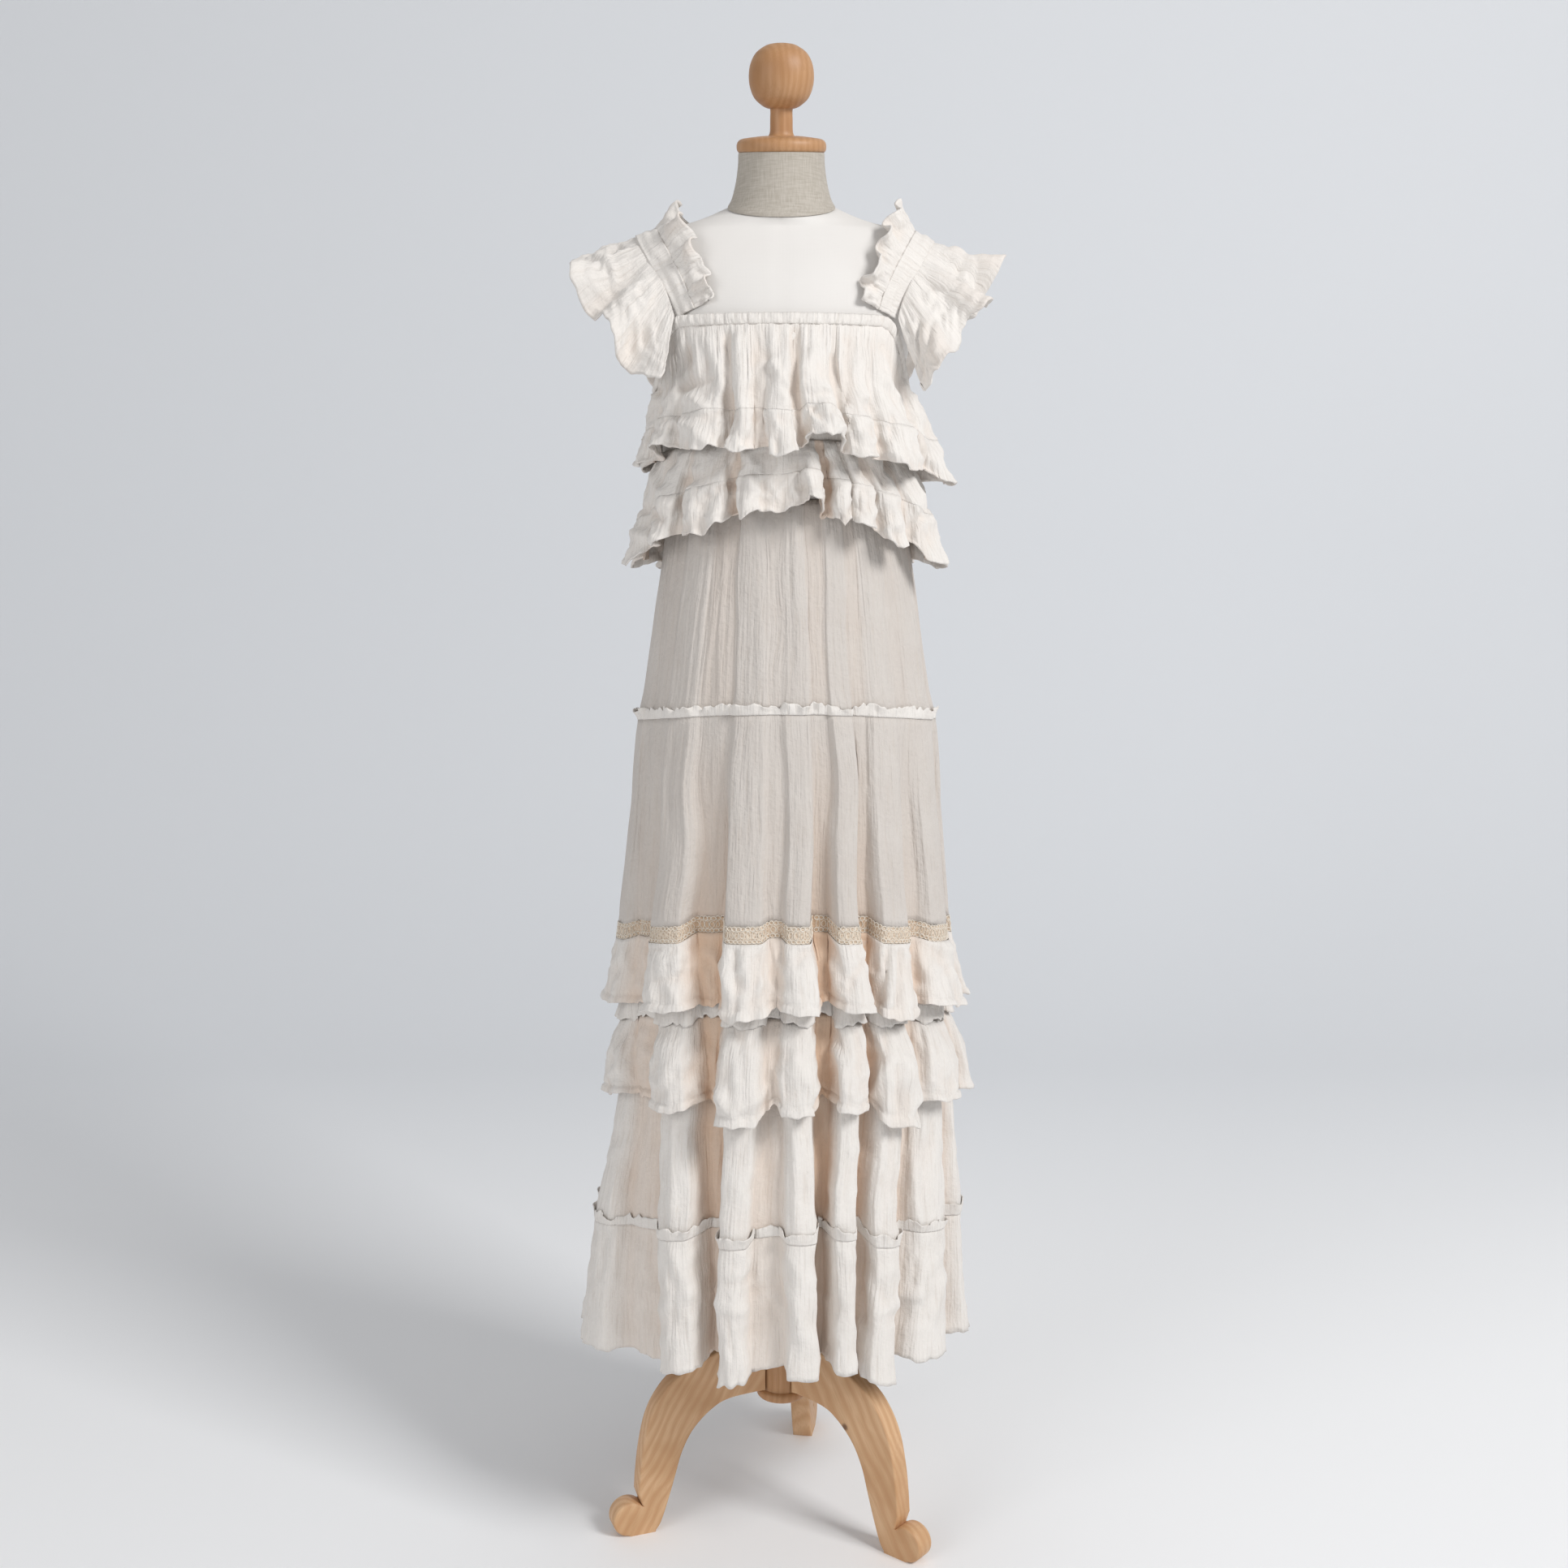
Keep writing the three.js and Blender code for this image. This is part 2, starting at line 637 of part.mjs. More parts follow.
// Side seams of the skirt fall in the valleys between its front and back folds
const seamRight = middle(edge(FRONT_FOLDS[6], FOOT), edge(BACK_FOLDS[0], -FOOT));
const seamLeftBack = edge(BACK_FOLDS[7], FOOT);
const seamLeftFront = edge(FRONT_FOLDS[0], -FOOT);
const seamLeft = middle(seamLeftBack, { lace: seamLeftFront.lace + 360, hem: seamLeftFront.hem + 360 });
const nudge = (seam, by) => ({ lace: seam.lace + by, hem: seam.hem + by });
const SKIRT_COLUMNS = {
  front: foldColumns(FRONT_FOLDS, { from: nudge(seamLeft, -360 + PARTING), to: nudge(seamRight, -PARTING) }),
  back: foldColumns(BACK_FOLDS, { from: nudge(seamRight, PARTING), to: nudge(seamLeft, -PARTING) }),
};

// Heading of a column at a height: folds wander between the lace and the hem
function headingAt(column, z, spread) {
  const { fold, side } = column;
  const share = Math.min(Math.max((LACE_FOOT_Z - z) / (LACE_FOOT_Z - HEM_Z), 0), 1);
  const centre = fold.lace + (fold.hem - fold.lace) * share;
  const half = fold.half + (fold.hemHalf - fold.half) * share;
  return centre + side * (half + spread);
}

// Point of a folded round of cloth; its row carries the extents, its column the fold
function roundPoint(row, heading, lift, drop) {
  const angle = radians(heading);
  const inset = row.fold * (1 - lift);
  const across = (Math.sin(angle) < 0 ? row.left : row.right) - inset;
  const depth = (Math.cos(angle) > 0 ? row.front : row.back) - inset;
  const rise = row.rise * Math.max(Math.cos(angle), 0) ** 1.5 - (row.tip ?? 0) * Math.sin(angle);
  return new THREE.Vector3(across * Math.sin(angle), -depth * Math.cos(angle), row.z + rise - drop);
}

// Row of points moved out in plan, square to the row
function movedOut(points, by) {
  return points.map((point, i) => {
    const before = points[Math.max(i - 1, 0)];
    const after = points[Math.min(i + 1, points.length - 1)];
    const out = new THREE.Vector3(after.y - before.y, before.x - after.x, 0).normalize();
    return point.clone().addScaledVector(out, typeof by === "number" ? by : by(i));
  });
}

function skirtRow(columns, row) {
  return columns.map((column) => {
    const heading = headingAt(column, row.z, row.spread ?? 0);
    return roundPoint(row, heading, column.lift, (row.drop ?? 0) * column.fold.drop * column.lift);
  });
}

function skirtAt(columns, z) {
  return skirtRow(columns, between(SKIRT, "z", z));
}

// Skirt tiers, lace insertion, ruffles and the narrow gathered headings that cover the seams
for (const [name, columns] of Object.entries(SKIRT_COLUMNS)) {
  const inside = (i) => i > 0 && i < columns.length - 1;
  const gathered = (by) => (i) => (inside(i) ? (i % 2 ? by : -by) : 0);
  const heading = (z) => [
    movedOut(skirtAt(columns, z), LAID_ON + 0.6),
    movedOut(skirtAt(columns, z + FRILL_DEPTH), (i) => LAID_ON + 0.8 + (i % 2 ? FRILL_WAVE : 0)),
  ];
  const yoke = [
    movedOut(skirtAt(columns, YOKE_SEAM_Z + SEAM), gathered(GATHER_FOOT)),
    movedOut(skirtAt(columns, YOKE_SEAM_Z + YOKE_FLAT), gathered(GATHER_FOOT)),
    movedOut(skirtAt(columns, YOKE_FULL_Z), gathered(GATHER)),
    movedOut(skirtAt(columns, WAIST_Z), gathered(GATHER)),
  ];
  add(`tier_1_${name}`, wall(yoke, CLOTH), FINISH.cotton);
  const second = [LACE_TOP_Z + SEAM, TIER_2_MID_Z, YOKE_SEAM_Z].map((z) => skirtAt(columns, z));
  add(`tier_2_${name}`, wall(second, CLOTH), FINISH.cotton);
  const lace = [LACE_FOOT_Z + SEAM, LACE_TOP_Z].map((z) => skirtAt(columns, z));
  add(`lace_insertion_${name}`, wall(lace, CLOTH), FINISH.lace);
  const thirdLevels = [LOWER_SEAM_Z + SEAM, TIER_3_MID_Z, RUFFLE_SEAM_Z, LACE_FOOT_Z];
  const third = thirdLevels.map((z) => skirtAt(columns, z));
  add(`tier_3_${name}`, wall(third, CLOTH), FINISH.cotton);
  const lowest = skirtRow(columns, { ...between(SKIRT, "z", HEM_Z), drop: 0.8 });
  const fourth = [lowest, skirtAt(columns, TIER_4_MID_Z), skirtAt(columns, LOWER_SEAM_Z)];
  add(`tier_4_${name}`, wall(fourth, CLOTH), FINISH.cotton);
  const ruffles = [
    { title: "ruffle_upper", rows: RUFFLE_UPPER, top: LACE_FOOT_Z - 1 },
    { title: "ruffle_lower", rows: RUFFLE_LOWER, top: RUFFLE_SEAM_Z },
  ];
  for (const ruffle of ruffles) {
    const hemUp = [...ruffle.rows].reverse().map((row) => skirtRow(columns, row));
    hemUp.push(movedOut(skirtAt(columns, ruffle.top), LAID_ON));
    add(`${ruffle.title}_${name}`, wall(hemUp, CLOTH), FINISH.cotton);
  }
  add(`heading_yoke_${name}`, wall(heading(YOKE_SEAM_Z + 1), CLOTH), FINISH.cotton);
  add(`heading_ruffle_${name}`, wall(heading(RUFFLE_SEAM_Z + 1), CLOTH), FINISH.cotton);
  add(`heading_lower_${name}`, wall(heading(LOWER_SEAM_Z + 1), CLOTH), FINISH.cotton);
}

// Two flounces over the bodice, each a gathered panel with a narrow frill along its foot
function flounceColumns(folds, half) {
  const asFold = (fold) => ({ lace: fold.at, half: fold.half, hem: fold.at, hemHalf: fold.half, drop: 0 });
  const end = (at) => ({ lace: at, hem: at });
  return foldColumns(folds.map(asFold), { from: end(half.from + PARTING), to: end(half.to - PARTING) });
}

for (const [name, half] of Object.entries(HALVES)) {
  const upper = flounceColumns(FLOUNCE_UPPER_FOLDS[name], half);
  const lower = flounceColumns(FLOUNCE_LOWER_FOLDS[name], half);
  const at = (column) => headingAt(column, LACE_FOOT_Z, 0);
  const row = (columns, level) => columns.map((c) => roundPoint(level, at(c), c.lift, 0));
  const parted = (points) => points.map((p) => p.clone().setZ(p.z - 2 * SEAM));
  const alongEdge = (below) => upper.map((c, i) => {
    const pucker = 1.5 + (i % 2 ? 1 : 0);
    return torsoPoint(at(c), topEdge(at(c)) - below, BODICE_EASE + LAID_ON + pucker);
  });
  add(`neckline_casing_${name}`, wall([alongEdge(CASING_DEPTH), alongEdge(0)], CLOTH), FINISH.cotton);
  const upperTop = alongEdge(CASING_DEPTH + 3 * SEAM);
  const { bust, seam, hem } = FLOUNCE_UPPER;
  const panel = [row(upper, seam), row(upper, bust), upperTop];
  add(`flounce_upper_${name}`, wall(panel, CLOTH), FINISH.cotton);
  add(`flounce_upper_frill_${name}`, wall([row(upper, hem), parted(row(upper, seam))], CLOTH), FINISH.cotton);
  const lowerTop = lower.map((c) => {
    const front = Math.max(Math.cos(radians(at(c))), 0);
    const z = FLOUNCE_LOWER_TOP.z + FLOUNCE_LOWER_TOP.rise * front ** 1.5;
    return torsoPoint(at(c), z, BODICE_EASE + LAID_ON + 0.6 + 0.8 * c.lift);
  });
  const second = [row(lower, FLOUNCE_LOWER.seam), lowerTop];
  add(`flounce_lower_${name}`, wall(second, CLOTH), FINISH.cotton);
  const edging = [row(lower, FLOUNCE_LOWER.hem), parted(row(lower, FLOUNCE_LOWER.seam))];
  add(`flounce_lower_frill_${name}`, wall(edging, CLOTH), FINISH.cotton);
}

// Straps rested on the shoulders, a flutter sewn along the outer edge and a ruffle along the inner
function strapFrames(side) {
  const way = new THREE.CatmullRomCurve3(
    STRAP_WAY.map((row) => {
      const reach = side.neckline + (side.shoulder - side.neckline) * row.swing;
      return new THREE.Vector3(side.sign * reach, row.y, row.z);
    }),
  );
  return (share) => {
    const place = restedOn(way.getPoint(share), STRAP_EASE + STRAP_THICK / 2);
    const along = way.getTangent(share);
    const { away } = torsoDistance(place);
    const outward = along.clone().cross(away).normalize().multiplyScalar(-side.sign);
    if (outward.x * side.sign < 0) {
      outward.negate();
    }
    return { place, along, away, outward };
  };
}

function strapGrid(side, frames) {
  const grid = [];
  for (const across of [-0.5, 0, 0.5]) {
    const row = [];
    for (let i = 0; i <= STRAP_STEPS; i += 1) {
      const { place, outward } = frames(i / STRAP_STEPS);
      const spot = place.clone().addScaledVector(outward, across * STRAP_WIDTH);
      row.push(restedOn(spot, STRAP_EASE + STRAP_THICK / 2));
    }
    grid.push(row);
  }
  return side.sign < 0 ? grid : grid.map((row) => row.reverse());
}

function ruffleGrid(side, frames, fall, waves, edgeSign) {
  const grid = [];
  for (let j = 0; j <= waves.rows; j += 1) {
    const reach = j / waves.rows;
    const row = [];
    for (let i = 0; i <= waves.columns; i += 1) {
      const share = i / waves.columns;
      const { place, along, outward, away } = frames(share);
      const lie = between(fall, "way", share);
      const hang = new THREE.Vector3(side.sign * lie.out, -lie.ahead, lie.up).normalize();
      const swell = along.clone().cross(hang).normalize();
      const wave = Math.sin(share * waves.count * 2 * Math.PI + 0.6) * waves.depth * reach;
      const beside = place.clone().addScaledVector(outward, edgeSign * (STRAP_WIDTH / 2 + SEAM + CLOTH / 2));
      const root = restedOn(beside, STRAP_EASE + STRAP_THICK / 2);
      root.addScaledVector(away, lie.stand);
      row.push(root.addScaledVector(hang, lie.width * reach).addScaledVector(swell, wave));
    }
    grid.push(row);
  }
  return side.sign * edgeSign < 0 ? grid : grid.map((row) => row.reverse());
}

for (const [name, side] of Object.entries(STRAP_SIDES)) {
  const frames = strapFrames(side);
  add(`strap_${name}`, wall(strapGrid(side, frames), STRAP_THICK), FINISH.cotton);
  add(`flutter_${name}`, wall(ruffleGrid(side, frames, FLUTTER, FLUTTER_WAVES, 1), CLOTH), FINISH.cotton);
  const upright = ruffleGrid(side, frames, NECK_RUFFLE, NECK_RUFFLE_WAVES, -1);
  add(`neck_ruffle_${name}`, wall(upright, CLOTH), FINISH.cotton);
}

export default group;
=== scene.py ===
import math

import bpy
import numpy as np
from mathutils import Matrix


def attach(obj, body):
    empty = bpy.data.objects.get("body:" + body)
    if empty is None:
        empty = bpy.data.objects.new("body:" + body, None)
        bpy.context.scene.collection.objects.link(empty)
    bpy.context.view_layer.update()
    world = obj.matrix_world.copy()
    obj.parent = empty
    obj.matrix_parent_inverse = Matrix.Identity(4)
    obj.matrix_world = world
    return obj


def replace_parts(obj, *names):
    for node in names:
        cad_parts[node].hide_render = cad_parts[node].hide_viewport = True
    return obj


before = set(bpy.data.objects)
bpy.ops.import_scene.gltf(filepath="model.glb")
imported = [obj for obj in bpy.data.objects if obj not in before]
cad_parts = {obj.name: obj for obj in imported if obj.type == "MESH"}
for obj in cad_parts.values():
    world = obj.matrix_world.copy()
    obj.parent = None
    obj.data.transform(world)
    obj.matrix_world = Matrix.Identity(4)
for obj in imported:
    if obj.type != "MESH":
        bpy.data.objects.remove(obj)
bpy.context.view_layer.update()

# Tripod legs: three cabriole boards sawn from knotty pine, planed flat on both faces, with the
# long edges eased by hand. Each is screwed to the hub and ends in a solid round scroll toe.
MM = 0.001


def linear(code):
    """An sRGB hex colour as the linear colour that a shader takes."""
    parts = [int(code[i:i + 2], 16) / 255 for i in (1, 3, 5)]
    return [p / 12.92 if p <= 0.04045 else ((p + 0.055) / 1.055) ** 2.4 for p in parts] + [1.0]


def put(tree, kind, inputs=None, **settings):
    """One node in a tree, with its settings, and each input linked to a socket or given a value."""
    node = tree.nodes.new(kind)
    for key, value in settings.items():
        setattr(node, key, value)
    for key, value in (inputs or {}).items():
        if isinstance(value, bpy.types.NodeSocket):
            tree.links.new(value, node.inputs[key])
        else:
            node.inputs[key].default_value = value
    return node


def new_material(name):
    """An empty procedural material and its tree."""
    made = bpy.data.materials.new(name)
    made.use_nodes = True
    made.node_tree.nodes.clear()
    return made, made.node_tree


def finish_material(tree, shader):
    """Links a shader to the material's surface."""
    put(tree, "ShaderNodeOutputMaterial", {"Surface": shader.outputs[0]})


# Knots in the boards: place in the log (across, through, along) and radius, metres
KNOTS = (
    (0.1895, 0.400, 0.058, 0.0065),
    (0.1700, 0.388, 0.062, 0.0040),
    (0.1480, 0.188, 0.070, 0.0090),
)


def pine_wood(name, pale, late, stain):
    """Pine: a pale ground, year rings that run in soft flames, fine pores along the grain and dark knots."""
    made, tree = new_material(name)
    log = put(tree, "ShaderNodeAttribute", attribute_name="log").outputs["Vector"]
    wander = put(tree, "ShaderNodeTexNoise", {"Vector": log, "Scale": 9.0, "Detail": 2.0})
    bend = put(tree, "ShaderNodeVectorMath", {0: wander.outputs["Color"], 1: (0.02, 0.02, 0.0)},
               operation="MULTIPLY")
    bent = put(tree, "ShaderNodeVectorMath", {0: log, 1: bend.outputs[0]}, operation="ADD")
    slow = put(tree, "ShaderNodeVectorMath", {0: bent.outputs[0], 1: (1.0, 1.0, 0.10)}, operation="MULTIPLY")
    rings = put(tree, "ShaderNodeTexWave", {
        "Vector": slow.outputs[0], "Scale": 40.0, "Distortion": 3.4, "Detail": 2.0, "Detail Scale": 1.4},
        wave_type="RINGS", rings_direction="Z", wave_profile="SIN")
    tone = put(tree, "ShaderNodeMix", {"Factor": rings.outputs["Fac"], 6: linear(pale), 7: linear(late)},
               data_type="RGBA")
    fine = put(tree, "ShaderNodeVectorMath", {0: bent.outputs[0], 1: (620.0, 620.0, 26.0)},
               operation="MULTIPLY")
    pores = put(tree, "ShaderNodeTexNoise", {"Vector": fine.outputs[0], "Scale": 1.0, "Detail": 3.0})
    broad = put(tree, "ShaderNodeTexNoise", {"Vector": log, "Scale": 19.0, "Detail": 1.0})
    for spots, low, high, most in ((pores, 0.45, 0.75, 0.4), (broad, 0.48, 0.72, 0.6)):
        share = put(tree, "ShaderNodeMapRange", {
            "Value": spots.outputs["Fac"], 1: low, 2: high, 3: 0.0, 4: most})
        tone = put(tree, "ShaderNodeMix", {
            "Factor": share.outputs[0], 6: tone.outputs[2], 7: linear(stain)}, data_type="RGBA")
    for *centre, radius in KNOTS:
        apart = put(tree, "ShaderNodeVectorMath", {0: log, 1: centre}, operation="DISTANCE")
        dark = put(tree, "ShaderNodeMapRange", {
            "Value": apart.outputs["Value"], 1: radius * 0.5, 2: radius * 1.6, 3: 0.85, 4: 0.0},
            interpolation_type="SMOOTHSTEP")
        tone = put(tree, "ShaderNodeMix", {
            "Factor": dark.outputs[0], 6: tone.outputs[2], 7: linear("#5E3A22")}, data_type="RGBA")
    relief = put(tree, "ShaderNodeBump", {
        "Strength": 0.2, "Distance": 0.0003, "Height": pores.outputs["Fac"]})
    finish_material(tree, put(tree, "ShaderNodeBsdfPrincipled", {
        "Base Color": tone.outputs[2], "Roughness": 0.5, "Normal": relief.outputs[0]}))
    return made


# Oiled pine: pale straw boards with a weak slanting grain and light brown patches
pine = pine_wood("pine_oiled", "#D8B28A", "#CB9F76", "#B98B5F")


def mesh_object(name, points, faces, material):
    """A mesh object at the origin from points in millimetres and faces of any size."""
    made = bpy.data.meshes.new(name)
    made.from_pydata((np.asarray(points) * MM).tolist(), [], [list(map(int, f)) for f in faces])
    made.materials.append(material)
    made.polygons.foreach_set("use_smooth", [True] * len(made.polygons))
    made.update()
    piece = bpy.data.objects.new(name, made)
    bpy.context.collection.objects.link(piece)
    return piece


def place_in_log(piece, places):
    """Stores, for the wood's grain, where each point of a piece lay in its log, in metres."""
    places = np.asarray(places, dtype=np.float32)
    piece.data.attributes.new("log", "FLOAT_VECTOR", "POINT").data.foreach_set("vector", places.ravel())


def through(points, steps):
    """A smooth line through points, with some steps between each two."""
    p = np.asarray(points, float)
    p = np.vstack([2 * p[0] - p[1], p, 2 * p[-1] - p[-2]])
    line = []
    for a, b, c, d in zip(p, p[1:], p[2:], p[3:]):
        for t in np.arange(steps) / steps:
            line.append(0.5 * (2 * b + (c - a) * t + (2 * a - 5 * b + 4 * c - d) * t * t
                               + (3 * b - a - 3 * c + d) * t ** 3))
    return np.array(line + [p[-2]])


# Outline of a leg board in its own plane: distance from the axis and height
LEG_UNDERSIDE = ((26.9, 161), (73, 158), (97, 148), (121, 126), (136, 99), (145, 70), (153.5, 42),
                 (164, 12), (172, 0))
LEG_UPPERSIDE = ((193, 52), (191.5, 74), (187, 110), (178, 148), (163, 176), (140, 198), (90, 222),
                 (26.9, 240))
TOE = {"r": 204, "z": 21.5, "radius": 21.5, "last": 140}
HUB_FACE = 27
# The eased edge: how far in from the outline, and how far out from the board's middle
LEG_EASING = ((3.0, 13.0), (1.3, 12.6), (0.4, 11.6), (0.0, 10.0))
toe_turn = np.radians(np.linspace(-90, TOE["last"], 26))
toe = np.stack([TOE["r"] + TOE["radius"] * np.cos(toe_turn), TOE["z"] + TOE["radius"] * np.sin(toe_turn)], 1)
outline = np.vstack([through(LEG_UNDERSIDE, 6), toe, through(LEG_UPPERSIDE, 6)])
along_edge = np.roll(outline, -1, 0) - np.roll(outline, 1, 0)
inward = np.stack([-along_edge[:, 1], along_edge[:, 0]], 1) / np.linalg.norm(along_edge, axis=1)[:, None]
# Edges on the floor and against the hub stay square
squared = (outline[:, 1] < 0.01) | (outline[:, 0] < HUB_FACE)
inward[squared] = 0
levels = [(inset, -out) for inset, out in LEG_EASING] + [(inset, out) for inset, out in LEG_EASING[::-1]]
count = len(outline)
board = np.vstack([np.column_stack([outline[:, 0] + inward[:, 0] * inset, np.full(count, out),
                                    outline[:, 1] + inward[:, 1] * inset]) for inset, out in levels])
faces = []
for j in range(len(levels) - 1):
    for i in range(count):
        k = (i + 1) % count
        faces.append((j * count + i, (j + 1) * count + i, (j + 1) * count + k, j * count + k))
faces.append(tuple(range(count)))
faces.append(tuple(range(len(board) - 1, len(board) - 1 - count, -1)))
# The grain runs slantwise down the board, from the hub out to the toe
GRAIN_SLANT = math.radians(58)
BOARDS_APART = 200
# Faces that meet at more than this stay sharp
BOARD_SHARP, ROUND_SHARP = math.radians(40), math.radians(50)
for n, (side, heading) in enumerate((("rear", 80.5), ("left", 200.5), ("right", 320.5))):
    turn = math.radians(heading)
    placed = np.column_stack([board[:, 0] * math.cos(turn) - board[:, 1] * math.sin(turn),
                              board[:, 0] * math.sin(turn) + board[:, 1] * math.cos(turn), board[:, 2]])
    leg = mesh_object(f"pine_leg_{side}", placed, faces, pine)
    leg.data.set_sharp_from_angle(angle=BOARD_SHARP)
    along = -board[:, 0] * math.cos(GRAIN_SLANT) + board[:, 2] * math.sin(GRAIN_SLANT)
    across = board[:, 0] * math.sin(GRAIN_SLANT) + board[:, 2] * math.cos(GRAIN_SLANT)
    place_in_log(leg, np.column_stack([across, board[:, 1] + BOARDS_APART * n, along]) * MM)
    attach(leg, "root")
    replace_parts(leg, f"leg_{side}")

# Hub and pole: the hub is turned from one block, with a half-round collar at its foot that the
# legs butt against. The plain pole is a dowel glued into its top, hidden under the skirt.
HUB = ((27, 146.5), (29.6, 147.4), (31.2, 149.4), (31.9, 152), (31.7, 155), (30.6, 157.4), (28.4, 158.6),
       (26.7, 159.2), (26.3, 161), (26.5, 163), (26.5, 252))
POLE_RADIUS, POLE_FOOT_Z, POLE_TOP_Z = 17, 252.3, 914.7
# Stained pine: the turned pieces are a warmer brown, and their grain hardly shows
turned_pine = pine_wood("pine_stained", "#BC9068", "#B2855B", "#A07249")
# How far from the log's heart the turning blocks were sawn
OFF_HEART = (52.0, 31.0)


def ring_faces(rows, sides):
    """Faces of a body skinned over stacked rings of points, with a point in the middle of each end."""
    faces = []
    for j in range(rows - 1):
        for i in range(sides):
            k = (i + 1) % sides
            faces.append((j * sides + i, j * sides + k, (j + 1) * sides + k, (j + 1) * sides + i))
    for i in range(sides):
        k = (i + 1) % sides
        faces.append((rows * sides, k, i))
        faces.append((rows * sides + 1, (rows - 1) * sides + i, (rows - 1) * sides + k))
    return faces


def turned(name, profile, lean=None, foot=(0, 0, 0), sides=72):
    """A wooden piece turned on a lathe, its profile as (radius, height), leaned and set on a foot."""
    profile = np.asarray(profile, float)
    angle = np.arange(sides) / sides * 2 * np.pi
    r, z = profile[:, :1], profile[:, 1:]
    plain = np.stack([r * np.cos(angle), r * np.sin(angle), z + 0 * angle], 2).reshape(-1, 3)
    plain = np.vstack([plain, [0, 0, profile[0, 1]], [0, 0, profile[-1, 1]]])
    placed = plain if lean is None else plain @ lean.T
    piece = mesh_object(name, placed + np.array(foot), ring_faces(len(profile), sides), turned_pine)
    piece.data.set_sharp_from_angle(angle=ROUND_SHARP)
    place_in_log(piece, (plain + np.array([*OFF_HEART, foot[2]])) * MM)
    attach(piece, "root")
    return piece


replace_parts(turned("pine_hub", HUB), "hub")
pole = ((POLE_RADIUS, POLE_FOOT_Z), (POLE_RADIUS, POLE_TOP_Z))
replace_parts(turned("pine_pole", pole, sides=40), "pole")

# Padded torso: a moulded body in wadding under a tight cover of bleached cotton canvas, seamed
# down the middle of the front and back. It sits on the pole and carries the dress.


def table(names, *rows):
    """Named columns of a short table."""
    return dict(zip(names.split(), np.array(rows, float).T))


def between(rows, key, at):
    """Smooth values of every column of a table at keys that lie between its rows."""
    k = rows[key]
    at = np.clip(np.asarray(at, float), k[0], k[-1])
    i = np.clip(np.searchsorted(k, at, "right") - 1, 0, len(k) - 2)
    low, high = np.maximum(i - 1, 0), np.minimum(i + 2, len(k) - 1)
    span = k[i + 1] - k[i]
    t = (at - k[i]) / span
    made = {}
    for name, c in rows.items():
        slope_a = (c[i + 1] - c[low]) / (k[i + 1] - k[low]) * span
        slope_b = (c[high] - c[i]) / (k[high] - k[i]) * span
        hold = c[i] * (2 * t ** 3 - 3 * t ** 2 + 1) + c[i + 1] * (3 * t ** 2 - 2 * t ** 3)
        made[name] = hold + slope_a * (t ** 3 - 2 * t ** 2 + t) + slope_b * (t ** 3 - t ** 2)
    made[key] = at
    return made


# Half extents of the torso, hip to neck, in millimetres; tilt leans the section forward
TORSO = table(
    "z side front back tilt",
    (915, 138, 92, 100, 0), (930, 150, 103, 112, 0), (990, 156, 110, 122, 0), (1080, 142, 104, 110, 0),
    (1175, 114, 90, 84, 0), (1270, 126, 102, 88, 0), (1345, 138, 126, 92, 0), (1420, 144, 116, 98, 0),
    (1480, 162, 98, 96, 0), (1525, 182, 80, 82, 0), (1552, 183, 64, 66, 0), (1568, 170, 54, 58, 0),
    (1578, 144, 50, 54, 0.05), (1590, 98, 50, 53, 0.2), (1604, 61, 52, 50, 0.36),
)


def torso_point(heading, z, ease):
    """Points on the torso at headings in degrees and heights, moved out by some ease."""
    row = between(TORSO, "z", z)
    angle = np.radians(heading)
    depth = np.where(np.cos(angle) > 0, row["front"], row["back"]) + ease
    y = -depth * np.cos(angle)
    x = (row["side"] + ease) * np.sin(angle)
    return np.stack(np.broadcast_arrays(x, y, row["z"] + y * row["tilt"]), -1)


def stacked(name, rings, material):
    """A closed body skinned over rings of points that are stacked upward."""
    rows, sides = rings.shape[:2]
    points = np.vstack([rings.reshape(-1, 3), rings[0].mean(0), rings[-1].mean(0)])
    piece = mesh_object(name, points, ring_faces(rows, sides), material)
    piece.data.set_sharp_from_angle(angle=ROUND_SHARP)
    return piece


# Bleached canvas: almost white and matt, with a plain weave of 1.2 mm threads, drawn coarser than
# the real 0.6 mm so that it holds at this distance, and a faint grey mottle from handling.
canvas, tree = new_material("canvas_bleached")
place = put(tree, "ShaderNodeTexCoord").outputs["Object"]
# A wave node's bands repeat every 0.314 divided by its scale
WAVE_REPEAT, CANVAS_PITCH = 0.314, 0.0012
CANVAS_THREAD = {"Vector": place, "Scale": WAVE_REPEAT / CANVAS_PITCH, "Distortion": 0.6, "Detail": 1.0}
weft = put(tree, "ShaderNodeTexWave", CANVAS_THREAD, bands_direction="Z")
warp = put(tree, "ShaderNodeTexWave", CANVAS_THREAD, bands_direction="X")
weave = put(tree, "ShaderNodeMath", {0: weft.outputs["Fac"], 1: warp.outputs["Fac"]}, operation="ADD")
mottle = put(tree, "ShaderNodeTexNoise", {"Vector": place, "Scale": 14.0, "Detail": 3.0})
tone = put(tree, "ShaderNodeMix", {
    "Factor": mottle.outputs["Fac"], 6: linear("#E2DFDB"), 7: linear("#DCD8D4")}, data_type="RGBA")
relief = put(tree, "ShaderNodeBump", {"Strength": 0.10, "Distance": 0.0003, "Height": weave.outputs[0]})
finish_material(tree, put(tree, "ShaderNodeBsdfPrincipled", {
    "Base Color": tone.outputs[2], "Roughness": 0.85, "Sheen Weight": 0.08, "Normal": relief.outputs[0]}))

SEAM_TROUGH = {"depth": 0.7, "half": 1.6}
TORSO_SIDES = 128
NECK_SEAM_Z = 1604
